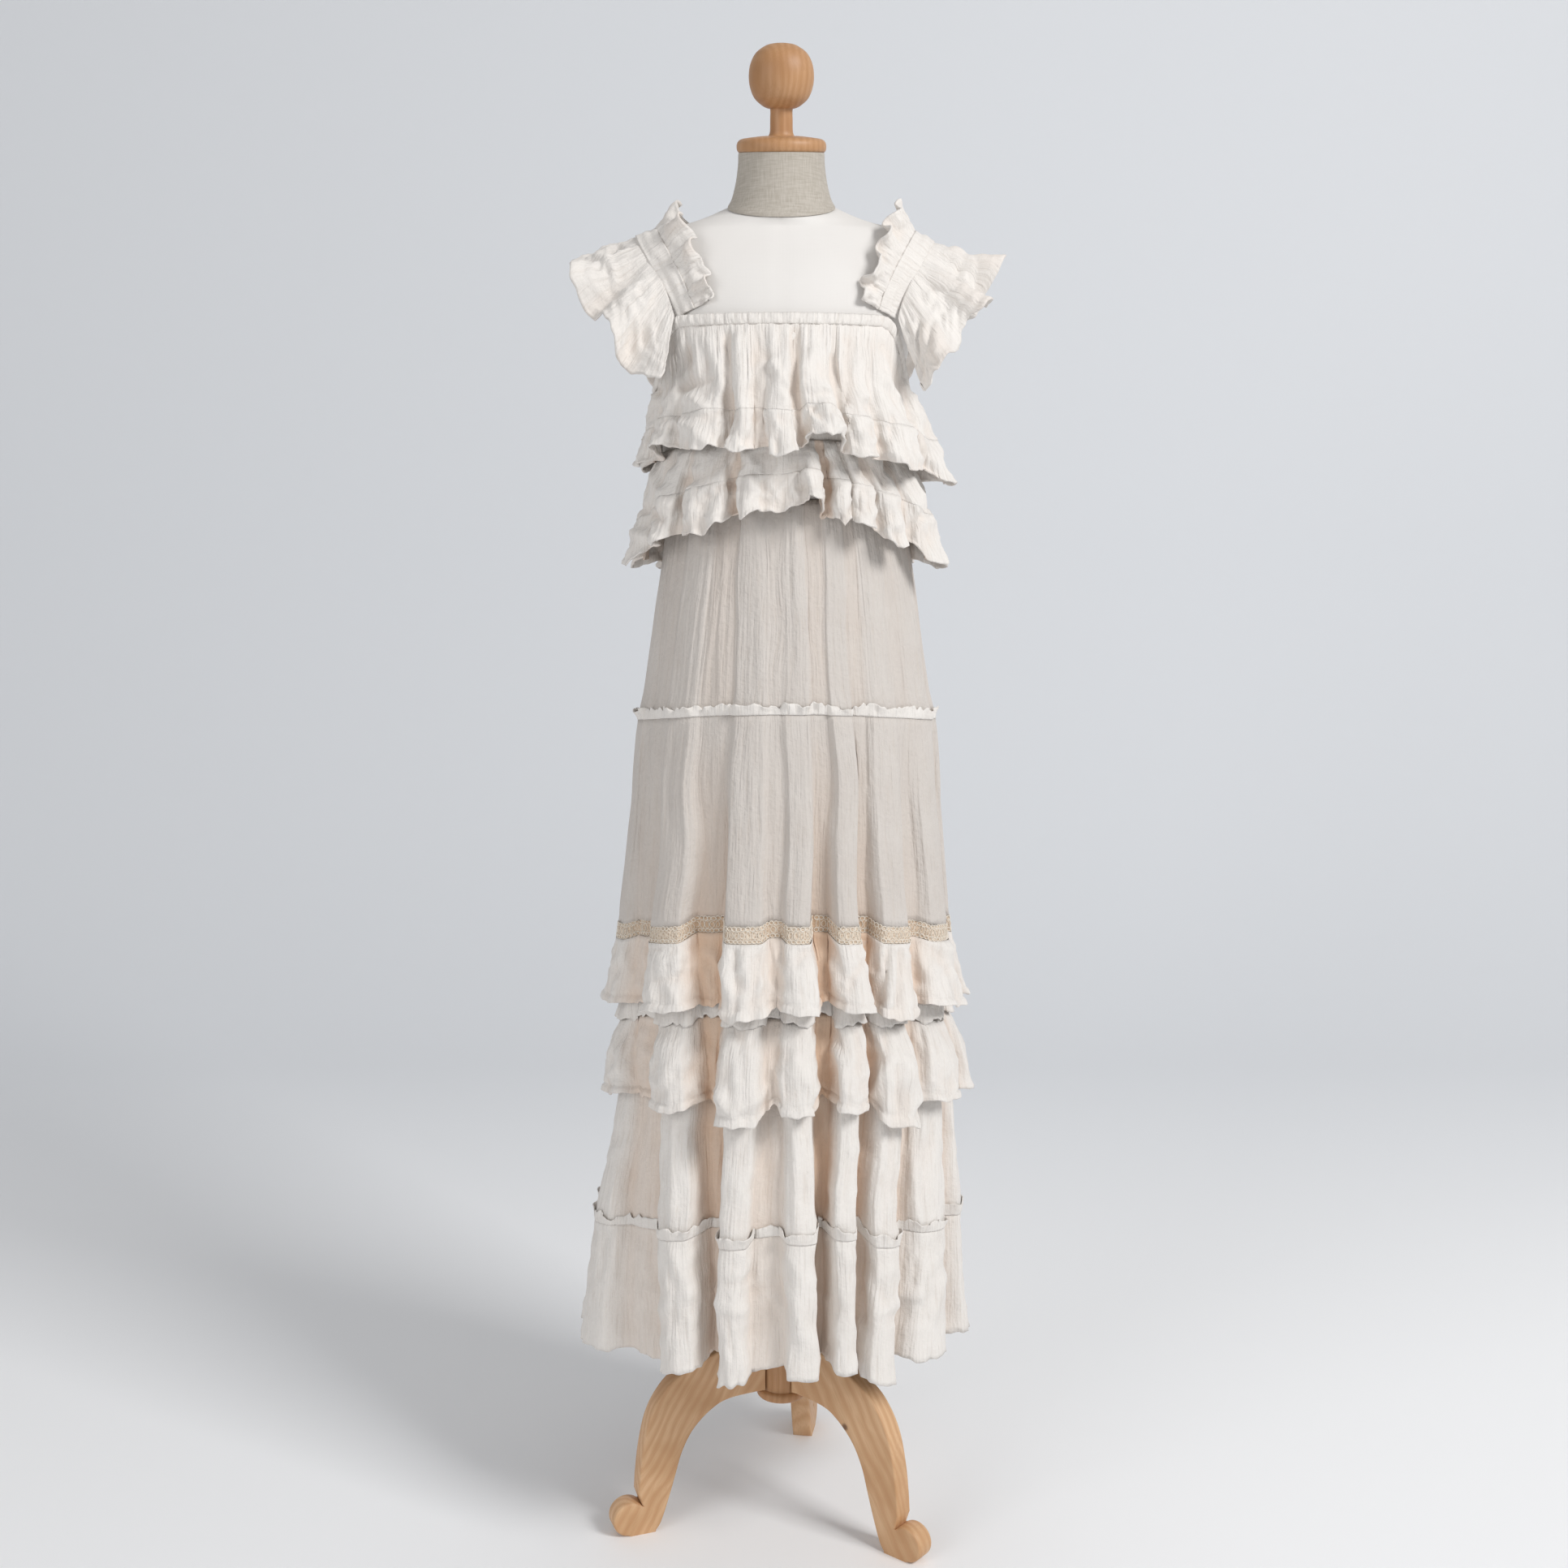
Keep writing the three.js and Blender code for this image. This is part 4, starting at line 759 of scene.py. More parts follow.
# Relief of a hanging strip: gathers as height, pitch, length and the share lost at the hem; size of its
# crumples; waves and curl as height, pitch and length; its uneven edge as height and pitch; how closely the
# curl keeps to the hem and how soon the relief leaves the seam; the warm painted shade of its valleys; and
# its seeds
FLOUNCE_LOWER_FRILL = {
    "gather": (1.0, 6.0, 34, 0), "crumple": 23, "wave": (4.5, 17, 60), "curl": (3.4, 9, 40),
    "edge": (5.0, 17), "ends": 2, "hold": 8, "painted_fold_shade": 0.5, "seeds": (17, 18, 19, 22, 20, 21)}
for half in HALVES:
    columns, heading, lift = flounce_columns(FLOUNCE_LOWER_FOLDS, half)
    ahead = np.maximum(np.cos(np.radians(heading)), 0)
    top_z = FLOUNCE_LOWER_TOP["z"] + FLOUNCE_LOWER_TOP["rise"] * ahead ** 1.5
    top = torso_point(heading, top_z, BODICE_EASE + LAID_ON + 0.6 + 0.8 * lift)[0]
    seam, hem = flounce_foot(FLOUNCE_LOWER, columns, heading, lift, 5)
    crumpled = 3.0 + 1.6 * np.abs(np.sin(np.radians(heading))) ** 3
    grid = loft([seam, top], int(16 * FINENESS[half]))
    u, v, still, up = laid_out(grid)
    relief = (0.9 * gathers(u, v, 5.0, 60, 11) * smooth(0.2 + up)
              + crumpled * crumples(u, v, 27, 14) + creased(grid, FLOUNCE_LOWER_CREASES)) * still
    grid = raised(grid, relief * smooth((1 - up) * 6))
    # Painted shade: warm in the valleys between folds and in the relief's troughs
    panel = shell(f"gauze_flounce_lower_{half}", grid, CLOTH, gauze,
                  0.5 * columns["deep"] ** 4 + relief_trough_shade(relief))
    sewn(panel, f"flounce_lower_{half}", cut_of(grid), "gathered", f"gauze_bodice_{half}")
    foot_frill("flounce_lower", half, grid, hem, columns, FLOUNCE_LOWER_CREASES, crumpled,
               FLOUNCE_LOWER_FRILL)

# Upper flounce and neckline casing: the flounce is gathered under a narrow casing that holds the
# elastic along the neckline. It falls over the bust, and a short frill is sewn along its foot.
FLOUNCE_UPPER_FOLDS = {
    "front": ((-77, 8, 6, 0.3), (-56, 7, -8, 0.4), (-35, 11, -4, 0.1), (-17, 4.5, 2, 0.1),
              (-0.5, 5.5, 6, 0), (13.5, 6.2, -19, 0.1), (28, 6.5, 0, 0.2), (47, 8.5, 2, 0.2),
              (74, 10, 8, 0)),
    "back": ((106, 9, 4, 0.3), (129, 9, -4, 0.2), (151, 8, 4, 0.1), (171, 7, -10, 0.2), (191, 8, 6, 0),
             (212, 8, 0, 0.3), (234, 9, -6, 0.3), (256, 8, 4, 0)),
}
FLOUNCE_UPPER_CREASES = (
    (-105, 1437, -102, 1396, -1.6, 4), (-84, 1443, -65, 1396, 2.2, 6), (-111, 1392, -66, 1403, -1.8, 4),
    (-119, 1387, -85, 1369, 2.0, 5), (-60, 1448, -59, 1369, -3.0, 4), (-46, 1443, -45, 1369, 2.6, 6),
    (-16, 1422, -12, 1396, -1.8, 4), (-11, 1416, 8, 1392, 2.0, 4), (15, 1452, 16, 1369, -3.0, 4),
    (34, 1430, 20, 1382, 1.8, 5), (56, 1425, 68, 1375, -2.2, 4), (74, 1446, 73, 1375, -2.4, 4),
    (95, 1430, 92, 1382, 1.8, 5), (116, 1439, 143, 1382, -2.2, 5), (105, 1411, 131, 1385, 2.0, 4),
    (49, 1374, 62, 1344, 3.4, 5), (34, 1367, 24, 1337, -2.2, 4), (-116, 1355, -84, 1334, 2.0, 5),
    (-51, 1364, -43, 1329, -2.0, 4), (82, 1351, 92, 1327, 2.4, 5), (125, 1360, 122, 1334, -2.4, 4),
    (-7, 1358, -4, 1322, -1.4, 4), (148, 1351, 166, 1316, 2.4, 5))
FLOUNCE_UPPER = {
    "bust": dict(z=1377, rise=33, tip=3, left=153, right=163, front=142, back=118, fold=5),
    "seam": dict(z=1342, rise=25, tip=6, left=159, right=182, front=150, back=130, fold=11),
    "hem": dict(z=1304, rise=20, tip=9, left=167, right=201, front=161, back=142, fold=17),
}
FLOUNCE_UPPER_FRILL = {
    "gather": (1.0, 6.0, 34, 0), "crumple": 22, "wave": (4.5, 19, 60), "curl": (3.4, 9, 40),
    "edge": (4.5, 18), "ends": 2, "hold": 8, "painted_fold_shade": 0.3, "seeds": (33, 36, 38, 37, 39, 40)}
CASING_DEPTH = 13
for half in HALVES:
    columns, heading, lift = flounce_columns(FLOUNCE_UPPER_FOLDS, half)
    edge = top_edge(heading)
    ease = BODICE_EASE + LAID_ON + 1.5
    below = np.linspace(CASING_DEPTH, 0, 8)[:, None]
    casing = torso_point(heading, edge - below, ease + 0.5 * lift)
    u, v, still, up = laid_out(casing)
    puff = (2.4 * np.sin(np.pi * up) ** 0.7 + 1.1 * noise(u / 2.6, v / 9, 23)
            + 0.6 * noise(u / 5.5, 0.3, 24))
    casing = raised(casing, puff * still)
    band = shell(f"gauze_casing_{half}", casing, CLOTH, gauze)
    sewn(band, f"neckline_casing_{half}", cut_of(casing), "gathered", f"gauze_bodice_{half}")

    top = torso_point(heading, edge - CASING_DEPTH + 3, ease - 0.3)[0]
    bust = round_points(FLOUNCE_UPPER["bust"], heading, lift)[0]
    seam, hem = flounce_foot(FLOUNCE_UPPER, columns, heading, lift, 4)
    crumpled = 3.0 + 1.4 * np.abs(np.sin(np.radians(heading))) ** 3
    grid = loft([seam, bust, top], int(32 * FINENESS[half]))
    u, v, still, up = laid_out(grid)
    relief = (1.3 * gathers(u, v, 4.6, 70, 27) * smooth(up * 1.3)
              + creased(grid, FLOUNCE_UPPER_CREASES)
              + crumpled * crumples(u, v, 28, 30) * smooth((1 - up) * 2.2)) * still
    grid = raised(grid, relief * smooth((1 - up) * 9))
    # Painted shade: warm in the valleys between folds, fading up the panel, and in the relief's troughs
    panel = shell(f"gauze_flounce_upper_{half}", grid, CLOTH, gauze,
                  0.25 * columns["deep"] ** 4 * (1 - up) + relief_trough_shade(relief))
    sewn(panel, f"flounce_upper_{half}", cut_of(grid), "gathered", f"gauze_bodice_{half}")
    foot_frill("flounce_upper", half, grid, hem, columns, FLOUNCE_UPPER_CREASES, crumpled,
               FLOUNCE_UPPER_FRILL)

# Shoulder straps: a folded strip of gauze over each shoulder, pressed into a few lengthwise creases
# and topstitched near both edges, from the front of the neckline to the back.
STRAP_WIDTH, STRAP_THICK, STRAP_EASE = 26, 1.6, 0.9
# Way over the shoulder, front to back: swing from the neckline to the shoulder, y and z
STRAP_WAY = ((0, -80, 1477), (0.3, -76, 1508), (0.62, -64, 1542), (0.9, -36, 1568), (1, 4, 1580),
             (0.9, 42, 1570), (0.62, 68, 1544), (0.3, 82, 1510), (0, 86, 1477))
# Each side: sign of x, reach at the neckline and at the shoulder
STRAP_SIDES = {"left": (-1, 111, 158), "right": (1, 127, 169)}


def torso_distance(points):
    """Signed distances, near the surface, from points to the padded torso, and the way out."""
    x, y, z = np.moveaxis(points, -1, 0)

    def level(at):
        row = between(TORSO, "z", at)
        depth = np.where(y < 0, row["front"], row["back"])
        return (x / row["side"]) ** 2 + (y / depth) ** 2, row["side"], depth

    value, side, depth = level(z)
    steep = np.stack([2 * x / side ** 2, 2 * y / depth ** 2, level(z + 0.5)[0] - level(z - 0.5)[0]], -1)
    size = np.linalg.norm(steep, axis=-1, keepdims=True)
    return (value - 1)[..., None] / size, steep / size


# Points come to rest on the torso in passes, each a share of the way left and never over a limit
REST_PASSES, REST_SHARE, REST_LIMIT = 14, 0.7, 6


def rested_on(points, clearance):
    """The nearest places above the torso at a clearance."""
    for _ in range(REST_PASSES):
        distance, away = torso_distance(points)
        points = points + away * np.clip(clearance - distance, -REST_LIMIT, REST_LIMIT) * REST_SHARE
    return points


def strap_frame(side):
    """Along a strap: its middle, its direction, the way off the torso and the way to its outer edge."""
    sign, neckline, shoulder = STRAP_SIDES[side]
    reach = shoulder - neckline
    way = through([(sign * (neckline + reach * swing), y, z) for swing, y, z in STRAP_WAY], 16)
    middle = rested_on(way, STRAP_EASE + STRAP_THICK / 2)
    along = np.gradient(way, axis=0)
    along /= np.linalg.norm(along, axis=1)[:, None]
    away = torso_distance(middle)[1]
    outward = np.cross(along, away)
    outward *= np.sign(outward[:, :1]) * sign / np.linalg.norm(outward, axis=1)[:, None]
    return middle, along, away, outward


def facing(grid, away):
    """The order of a grid's columns that turns its outer side away from the torso."""
    return slice(None) if (normals(grid) * away).sum() > 0 else slice(None, None, -1)


for side in STRAP_SIDES:
    middle, along, away, outward = strap_frame(side)
    across = np.linspace(-0.5, 0.5, 17)[:, None]
    grid = rested_on(middle + outward * across[..., None] * STRAP_WIDTH, STRAP_EASE + STRAP_THICK / 2)
    u = cloth_lengths(grid)[0]
    pressed = across * 4.6 * np.pi + 1.4 * noise(u / 55, 0.2, 41)
    crease = 0.7 * np.cos(pressed) + 0.7 * noise(u / 30, across * 5, 42)
    topstitch = 0.9 * np.exp(-((np.abs(across) - 0.4) / 0.03) ** 2)
    crease -= topstitch
    grid = grid + away * (STRAP_EASE + crease)[..., None]
    grid = grid[:, facing(grid, away)]
    strap = shell(f"gauze_strap_{side}", grid, STRAP_THICK, gauze)
    sewn(strap, f"strap_{side}", cut_of(grid), "laid", "canvas_torso")

# Shoulder flutters and neck ruffles: strips gathered tightly along one edge and sewn to the strap's
# outer and inner edges. The flutter wings out past the shoulder, and the ruffle stands up at the neck.

# Columns: share of the way, direction (out, ahead, up), width and how far the root stands off
FLUTTER = table("way out ahead up width stand", (0, 0.22, 0.42, -0.88, 118, 9),
                (0.16, 0.58, 0.36, -0.73, 94, 3), (0.34, 0.84, 0.14, -0.52, 88, 0.4),
                (0.5, 0.93, 0, -0.36, 80, 0.4), (0.66, 0.84, -0.14, -0.52, 86, 0.4),
                (0.84, 0.58, -0.36, -0.73, 88, 3), (1, 0.22, -0.42, -0.88, 84, 9))
NECK_RUFFLE = table("way out ahead up width stand", (0, -0.76, 0.5, 0.4, 30, 0.4),
                    (0.25, -0.66, 0.5, 0.56, 38, 0.4), (0.5, -0.6, 0, 0.8, 41, 0.4),
                    (0.75, -0.66, -0.5, 0.56, 38, 0.4), (1, -0.76, -0.5, 0.4, 30, 0.4))

# Share of its rectangle that such a strip covers: its ends are cut round
ROUNDED_ENDS = 0.86
STRIP_COLUMNS = 300
# Nominal length of a gathered strip in millimetres, for the size of its crumples
STRIP_LENGTH = 300


def frilled(side, fall, edge_sign, rows, waves, depth, seed):
    """Grid of a strip gathered on a strap's edge: it fans out in waves that deepen to its hem."""
    sign = STRAP_SIDES[side][0]
    strap = strap_frame(side)
    way = np.linspace(0, 1, STRIP_COLUMNS)
    strap_way = np.linspace(0, 1, len(strap[0]))
    middle, along, away, outward = (
        np.stack([np.interp(way, strap_way, c) for c in part.T], 1) for part in strap)
    lie = between(fall, "way", way)
    hang = np.stack([sign * lie["out"], -lie["ahead"], lie["up"]], 1)
    hang /= np.linalg.norm(hang, axis=1)[:, None]
    swell = np.cross(along, hang)
    swell /= np.linalg.norm(swell, axis=1)[:, None]
    root = rested_on(middle + outward * edge_sign * (STRAP_WIDTH / 2 - 2.5), STRAP_EASE)
    root = root + away * lie["stand"][:, None]
    reach = np.linspace(0, 1, rows)[:, None]
    drift = way + 0.036 * noise(way * 9, 0.1, seed) + 0.03 * (reach - 0.5) * noise(way * 5, 0.6, seed + 1)
    turn = drift * waves * 2 * np.pi + 0.6
    fullness = 1 + 0.35 * noise(way * waves * 1.3, 0.9, seed + 5)
    wave = depth * fullness * reach ** 1.1 * (np.sin(turn) + 0.15 * np.sin(2 * turn + 1.1))
    wave = wave + 0.3 * depth * reach ** 1.3 * noise(way * waves * 3.1, reach * 1.5, seed + 2)
    wave = wave + 1.5 * (1 - reach) * smooth(reach * 9) * noise(way * 78, reach * 2.4, seed + 3)
    wave = wave + 5.0 * smooth(reach * 2) * crumples(
        way * STRIP_LENGTH, reach * lie["width"].mean(), 19, seed + 4)
    uneven = (0.97 + 0.06 * np.cos(turn[-1] + 0.5) + 0.08 * noise(way * waves * 1.7, 0.7, seed + 6)
              + 0.025 * noise(way * 60, 0.2, seed + 7))
    from_end = np.clip(np.minimum(way, 1 - way) / 0.05, 0, 1)
    length = lie["width"] * uneven * (0.75 + 0.25 * np.sqrt(1 - (1 - from_end) ** 2))
    seam_length = cloth_lengths(root[None].repeat(2, 0))[0][-1]
    belly = -0.05 * seam_length / waves * reach * np.sin(2 * turn)
    curl = 4.5 * smooth((reach - 0.75) * 4) * noise(way * 24, reach * 2, seed + 8)
    grid = (root + hang * (length * reach)[..., None] + swell * (wave + curl)[..., None]
            + along * belly[..., None])
    # Painted shade: a warm tint in the troughs of the waves
    deep = 0.1 * smooth(-wave / depth * 1.2) * smooth(reach * 3)
    order = facing(grid, swell * -sign * edge_sign)
    return grid[:, order], deep[:, order]


# Each strip: its table, the strap's edge, rows of points, waves, their depth, seed and depth of the hem
STRIPS = {"flutter": (FLUTTER, 1, 30, 6, 16, 50, 3.5), "neck_ruffle": (NECK_RUFFLE, -1, 15, 8, 6.5, 70, 3)}
for side in STRAP_SIDES:
    for name, (*strip, turned_edge) in STRIPS.items():
        grid, deep = frilled(side, *strip)
        v = cloth_lengths(grid)[1][:, None]
        thick = np.where(v > v[-1] - turned_edge, HEM_THICK, CLOTH)
        piece = shell(f"gauze_{name}_{side}", grid, thick, gauze, deep)
        flat = cut_of(grid)
        sewn(piece, f"{name}_{side}", flat, "gathered", f"gauze_strap_{side}",
             area=ROUNDED_ENDS * flat[0] * flat[1])

# Yoke and second tier: two rounds of gauze, the first gathered on the waist seam, the second fuller
# and gathered on the first. They hang in long fine gathers that open into folds lower down.

# Half extents of the skirt from hem to waist; rise lifts the front, fold is ridge to valley
SKIRT = table(
    "z rise left right front back fold",
    (240, 36, 252, 228, 209, 204, 46), (320, 36, 244, 224, 200, 198, 42), (392, 37, 233, 221, 189, 190, 38),
    (540, 34, 202, 210, 164, 173, 24), (646, 28, 194, 203, 152, 163, 16), (741, 23, 199, 208, 156, 166, 25),
    (765, 23, 197, 206, 154, 164, 23), (890, 20, 183, 195, 143, 155, 13), (1010, 18, 172, 186, 134, 146, 6),
    (1044, 16, 164, 178, 130, 141, 4), (1131, 10, 153, 166, 121, 124, 3), (1189, 6, 143, 157, 115, 106, 3),
    (1268, 0, 134, 143, 110, 97, 2),
)
# Folds: heading and half width at the lace and at the hem, drop of a hem there, fullness of the next valley
SKIRT_FOLDS = {
    "front": ((-80, 10, -68, 11, -4, 0.4), (-43, 9, -29, 6.5, 8, 0), (-13, 7.5, -14.5, 4, 24, 0.5),
              (5.7, 4.6, 6.5, 5.6, 12, 0), (22.7, 4.6, 19.5, 4, 4, 0.05), (40.5, 7, 32, 5, 26, 0.4),
              (66, 10.5, 52, 9.5, 0, 0)),
    "back": ((100, 9, 88, 10, 2, 0.1), (124, 8, 116, 9, 16, 0.4), (146, 7, 140, 8, 0, 0),
             (166, 7, 163, 8, 20, 0.3), (186, 7, 187, 8, 2, 0.1), (207, 7, 210, 8, 14, 0.45),
             (229, 8, 234, 8, 0, 0.1), (252, 8, 257, 8, 6, 0)),
}
# How much of a fold's drop shows in the plain skirt, and how far its valleys are drawn up, by height
SKIRT_LIE = table("z drop draw", (240, 0.75, 0), (392, 0.5, 0), (560, 0.1, 4), (741, 0, 9), (800, 0, 7),
                  (1010, 0, 0))
# Side seams lie in valleys: heading at the lace and at the hem
SEAM_RIGHT, SEAM_LEFT = (83.9, 69.7), (264.8, 272.75)
COLUMN_PITCH = {"front": 2.8, "back": 4.4}


def beside(seam, turn):
    """A seam's headings at the lace and at the hem, moved round by some degrees."""
    return seam[0] + turn, seam[1] + turn


SKIRT_COLUMNS = {
    "front": fold_columns(SKIRT_FOLDS["front"], beside(SEAM_LEFT, SEAM_TURN - 360),
                          beside(SEAM_RIGHT, -SEAM_TURN), COLUMN_PITCH["front"]),
    "back": fold_columns(SKIRT_FOLDS["back"], beside(SEAM_RIGHT, SEAM_TURN),
                         beside(SEAM_LEFT, -SEAM_TURN), COLUMN_PITCH["back"]),
}
# Seams of the tiers: first to second, and third to fourth
TIER_1_FOOT_Z, TIER_3_FOOT_Z = 1010, 392
SKIRT_SWAY = 1.2


def skirt_at(half, z):
    """Rows of the plain skirt at some heights."""
    columns = SKIRT_COLUMNS[half]
    lift = columns["lift"] + 0.10 * columns["crown"]
    lie = {key: np.reshape(value, (-1, 1)) for key, value in between(SKIRT_LIE, "z", z).items()}
    drop = lie["drop"] * columns["drop"] - lie["draw"] * (1 - columns["lift"])
    return round_points(between(SKIRT, "z", z), heading_at(columns, z, 0.0, SKIRT_SWAY), lift, drop)


def moved_out(grid, by):
    """Rows of points moved out in plan, square to the row, by some millimetres."""
    along = np.gradient(grid, axis=1)
    out = np.stack([along[..., 1], -along[..., 0], np.zeros(along.shape[:2])], -1)
    out /= np.linalg.norm(out, axis=-1, keepdims=True)
    return grid + out * np.broadcast_to(by, grid.shape[:2])[..., None]


# Single gauze with painted shade: a greyer copy of the gauze for the yoke and the second tier, which are one
# layer over shadow
shaded_single_gauze = gauze_cloth("cotton_gauze_single_painted_shade", "#CDC7C1", "#C5BDB6")
for half, columns in SKIRT_COLUMNS.items():
    deep = columns["deep"]
    grid = skirt_at(half, np.linspace(TIER_1_FOOT_Z + SEAM_GAP, WAIST_Z, int(28 * FINENESS[half])))
    u, v, still, up = laid_out(grid)
    relief = 0.8 * gathers(u, v, 5.5, 260, 81) + 0.9 * gathers(u, v, 19, 190, 84)
    relief = relief * still * smooth(up * 9)
    grid = raised(grid, relief)
    # Painted shade: a faint warm tint in the fold valleys
    yoke = shell(f"gauze_tier_1_{half}", grid, CLOTH, shaded_single_gauze, 0.1 * deep ** 2)
    sewn(yoke, f"tier_1_{half}", cut_of(grid), "gathered", f"gauze_bodice_{half}")

    grid = skirt_at(half, np.linspace(LACE_TOP_Z + SEAM_GAP, TIER_1_FOOT_Z, int(30 * FINENESS[half])))
    u, v, still, up = laid_out(grid)
    relief = (0.8 * gathers(u, v, 5.5, 150, 87) * (0.45 + 0.55 * up)
              + 1.3 * gathers(u, v, 21, 170, 90))
    relief = relief * still * smooth((1 - up) * 14) * smooth(up * 9)
    grid = raised(grid, relief)
    # Painted shade: a warm tint in the fold valleys, strongest at the foot
    second = shell(f"gauze_tier_2_{half}", grid, CLOTH, shaded_single_gauze, 0.4 * deep ** 2 * (1 - up))
    sewn(second, f"tier_2_{half}", cut_of(grid), "gathered", f"gauze_tier_1_{half}")

# Narrow gathered headings: thin raw-edged strips sewn along three seams of the skirt by one edge, so
# that the free edge crimps in and out like lettuce. Two stand up, and the middle one flops down.

# Each heading: height of its seam, how far it reaches up or down, how far it stands off, seed and its tier
HEADINGS = {
    "heading_yoke": (1009, 12, 0.7, 101, "tier_1"),
    "heading_ruffle": (668, -23, 2.4, 104, "ruffle_lower"),
    "heading_lower": (391, 12, 0.7, 107, "tier_3"),
}
for name, (z, reach, stand, seed, tier) in HEADINGS.items():
    for half in SKIRT_COLUMNS:
        free = np.linspace(0, 1, 8)[:, None]
        grid = skirt_at(half, (z + reach * free)[:, 0])
        u, _, still, _ = laid_out(grid)
        lift = np.clip(SKIRT_COLUMNS[half]["lift"], 0, 1)
        slack = still * (1 - 2.4 * lift * (1 - lift))
        crimp = 4.4 + 3.6 * noise(u / 5.5, free * 0.9, seed) + 2.6 * noise(u / 12, 0.4, seed + 1)
        grid = moved_out(grid, stand + free * slack * crimp)
        ragged = 4.0 * noise(u / 11, 0.4, seed + 2) + 3.0 * noise(u / 5, 0.2, seed + 3)
        grid[..., 2] += free * ragged * still
        grid = grid if reach > 0 else grid[::-1]
        strip = shell(f"gauze_{name}_{half}", grid, CLOTH, gauze)
        sewn(strip, f"{name}_{half}", cut_of(grid), "gathered", f"gauze_{tier}_{half}")

# Lace insertion: a band of bobbin lace in ecru thread let in between the second and third tiers, a
# net ground with a row of loops along its middle and small loops near each edge, sewn flat to the gauze.

# Lace ground: ecru thread with dark pinholes of the net, drawn 3.4 mm apart where the real ones are
# 2 mm, so that they hold at this distance; in the folds it takes a browner painted shade.
NET_PITCH = 0.0034
lace, tree = new_material("cotton_lace_ecru")
cut = put(tree, "ShaderNodeUVMap", uv_map="cut").outputs["UV"]
net = put(tree, "ShaderNodeTexVoronoi", {"Vector": cut, "Scale": 1 / NET_PITCH, "Randomness": 0.75},
          voronoi_dimensions="2D")
hole = put(tree, "ShaderNodeMapRange", {"Value": net.outputs["Distance"], 1: 0.12, 2: 0.48, 3: 0.8, 4: 0.0})
painted_fold_shade = put(tree, "ShaderNodeAttribute", attribute_name="painted_fold_shade").outputs["Fac"]
# Painted shade: the ecru turns browner in the folds
ecru_fold_shaded = put(tree, "ShaderNodeMix", {"Factor": painted_fold_shade, 6: linear("#DACBB9"), 7: linear("#BE9C7C")},
           data_type="RGBA")
tone = put(tree, "ShaderNodeMix", {"Factor": hole.outputs[0], 6: ecru_fold_shaded.outputs[2], 7: linear("#AF967E")},
           data_type="RGBA")
relief = put(tree, "ShaderNodeBump", {"Strength": 0.8, "Distance": 0.0008, "Height": net.outputs["Distance"]})
finish_material(tree, put(tree, "ShaderNodeBsdfPrincipled", {
    "Base Color": tone.outputs[2], "Roughness": 0.95, "Normal": relief.outputs[0]}))

# Lace thread: pale ecru cotton, matt and slightly fluffy, a shade lighter than the net
thread, tree = new_material("cotton_lace_thread")
place = put(tree, "ShaderNodeTexCoord").outputs["Object"]
fluff = put(tree, "ShaderNodeTexNoise", {"Vector": place, "Scale": 900.0, "Detail": 2.0})
tone = put(tree, "ShaderNodeMix", {
    "Factor": fluff.outputs["Fac"], 6: linear("#DDD3C5"), 7: linear("#EAE2D6")}, data_type="RGBA")
finish_material(tree, put(tree, "ShaderNodeBsdfPrincipled", {
    "Base Color": tone.outputs[2], "Roughness": 0.95, "Sheen Weight": 0.15}))


def guide(name, grid, rows):
    """Lines along some rows of a cloth grid, with the way out at each point, for threads to follow."""
    out = normals(grid)
    points, edges, ways = [], [], []
    for row in rows:
        first = len(points)
        points.extend((grid[row] + out[row] * 0.7) * MM)
        ways.extend(out[row])
        edges.extend((first + i, first + i + 1) for i in range(grid.shape[1] - 1))
    made = bpy.data.meshes.new(name)
    made.from_pydata([tuple(p) for p in points], edges, [])
    made.attributes.new("out", "FLOAT_VECTOR", "POINT").data.foreach_set(
        "vector", np.asarray(ways, np.float32).ravel())
    piece = bpy.data.objects.new(name, made)
    bpy.context.collection.objects.link(piece)
    return piece


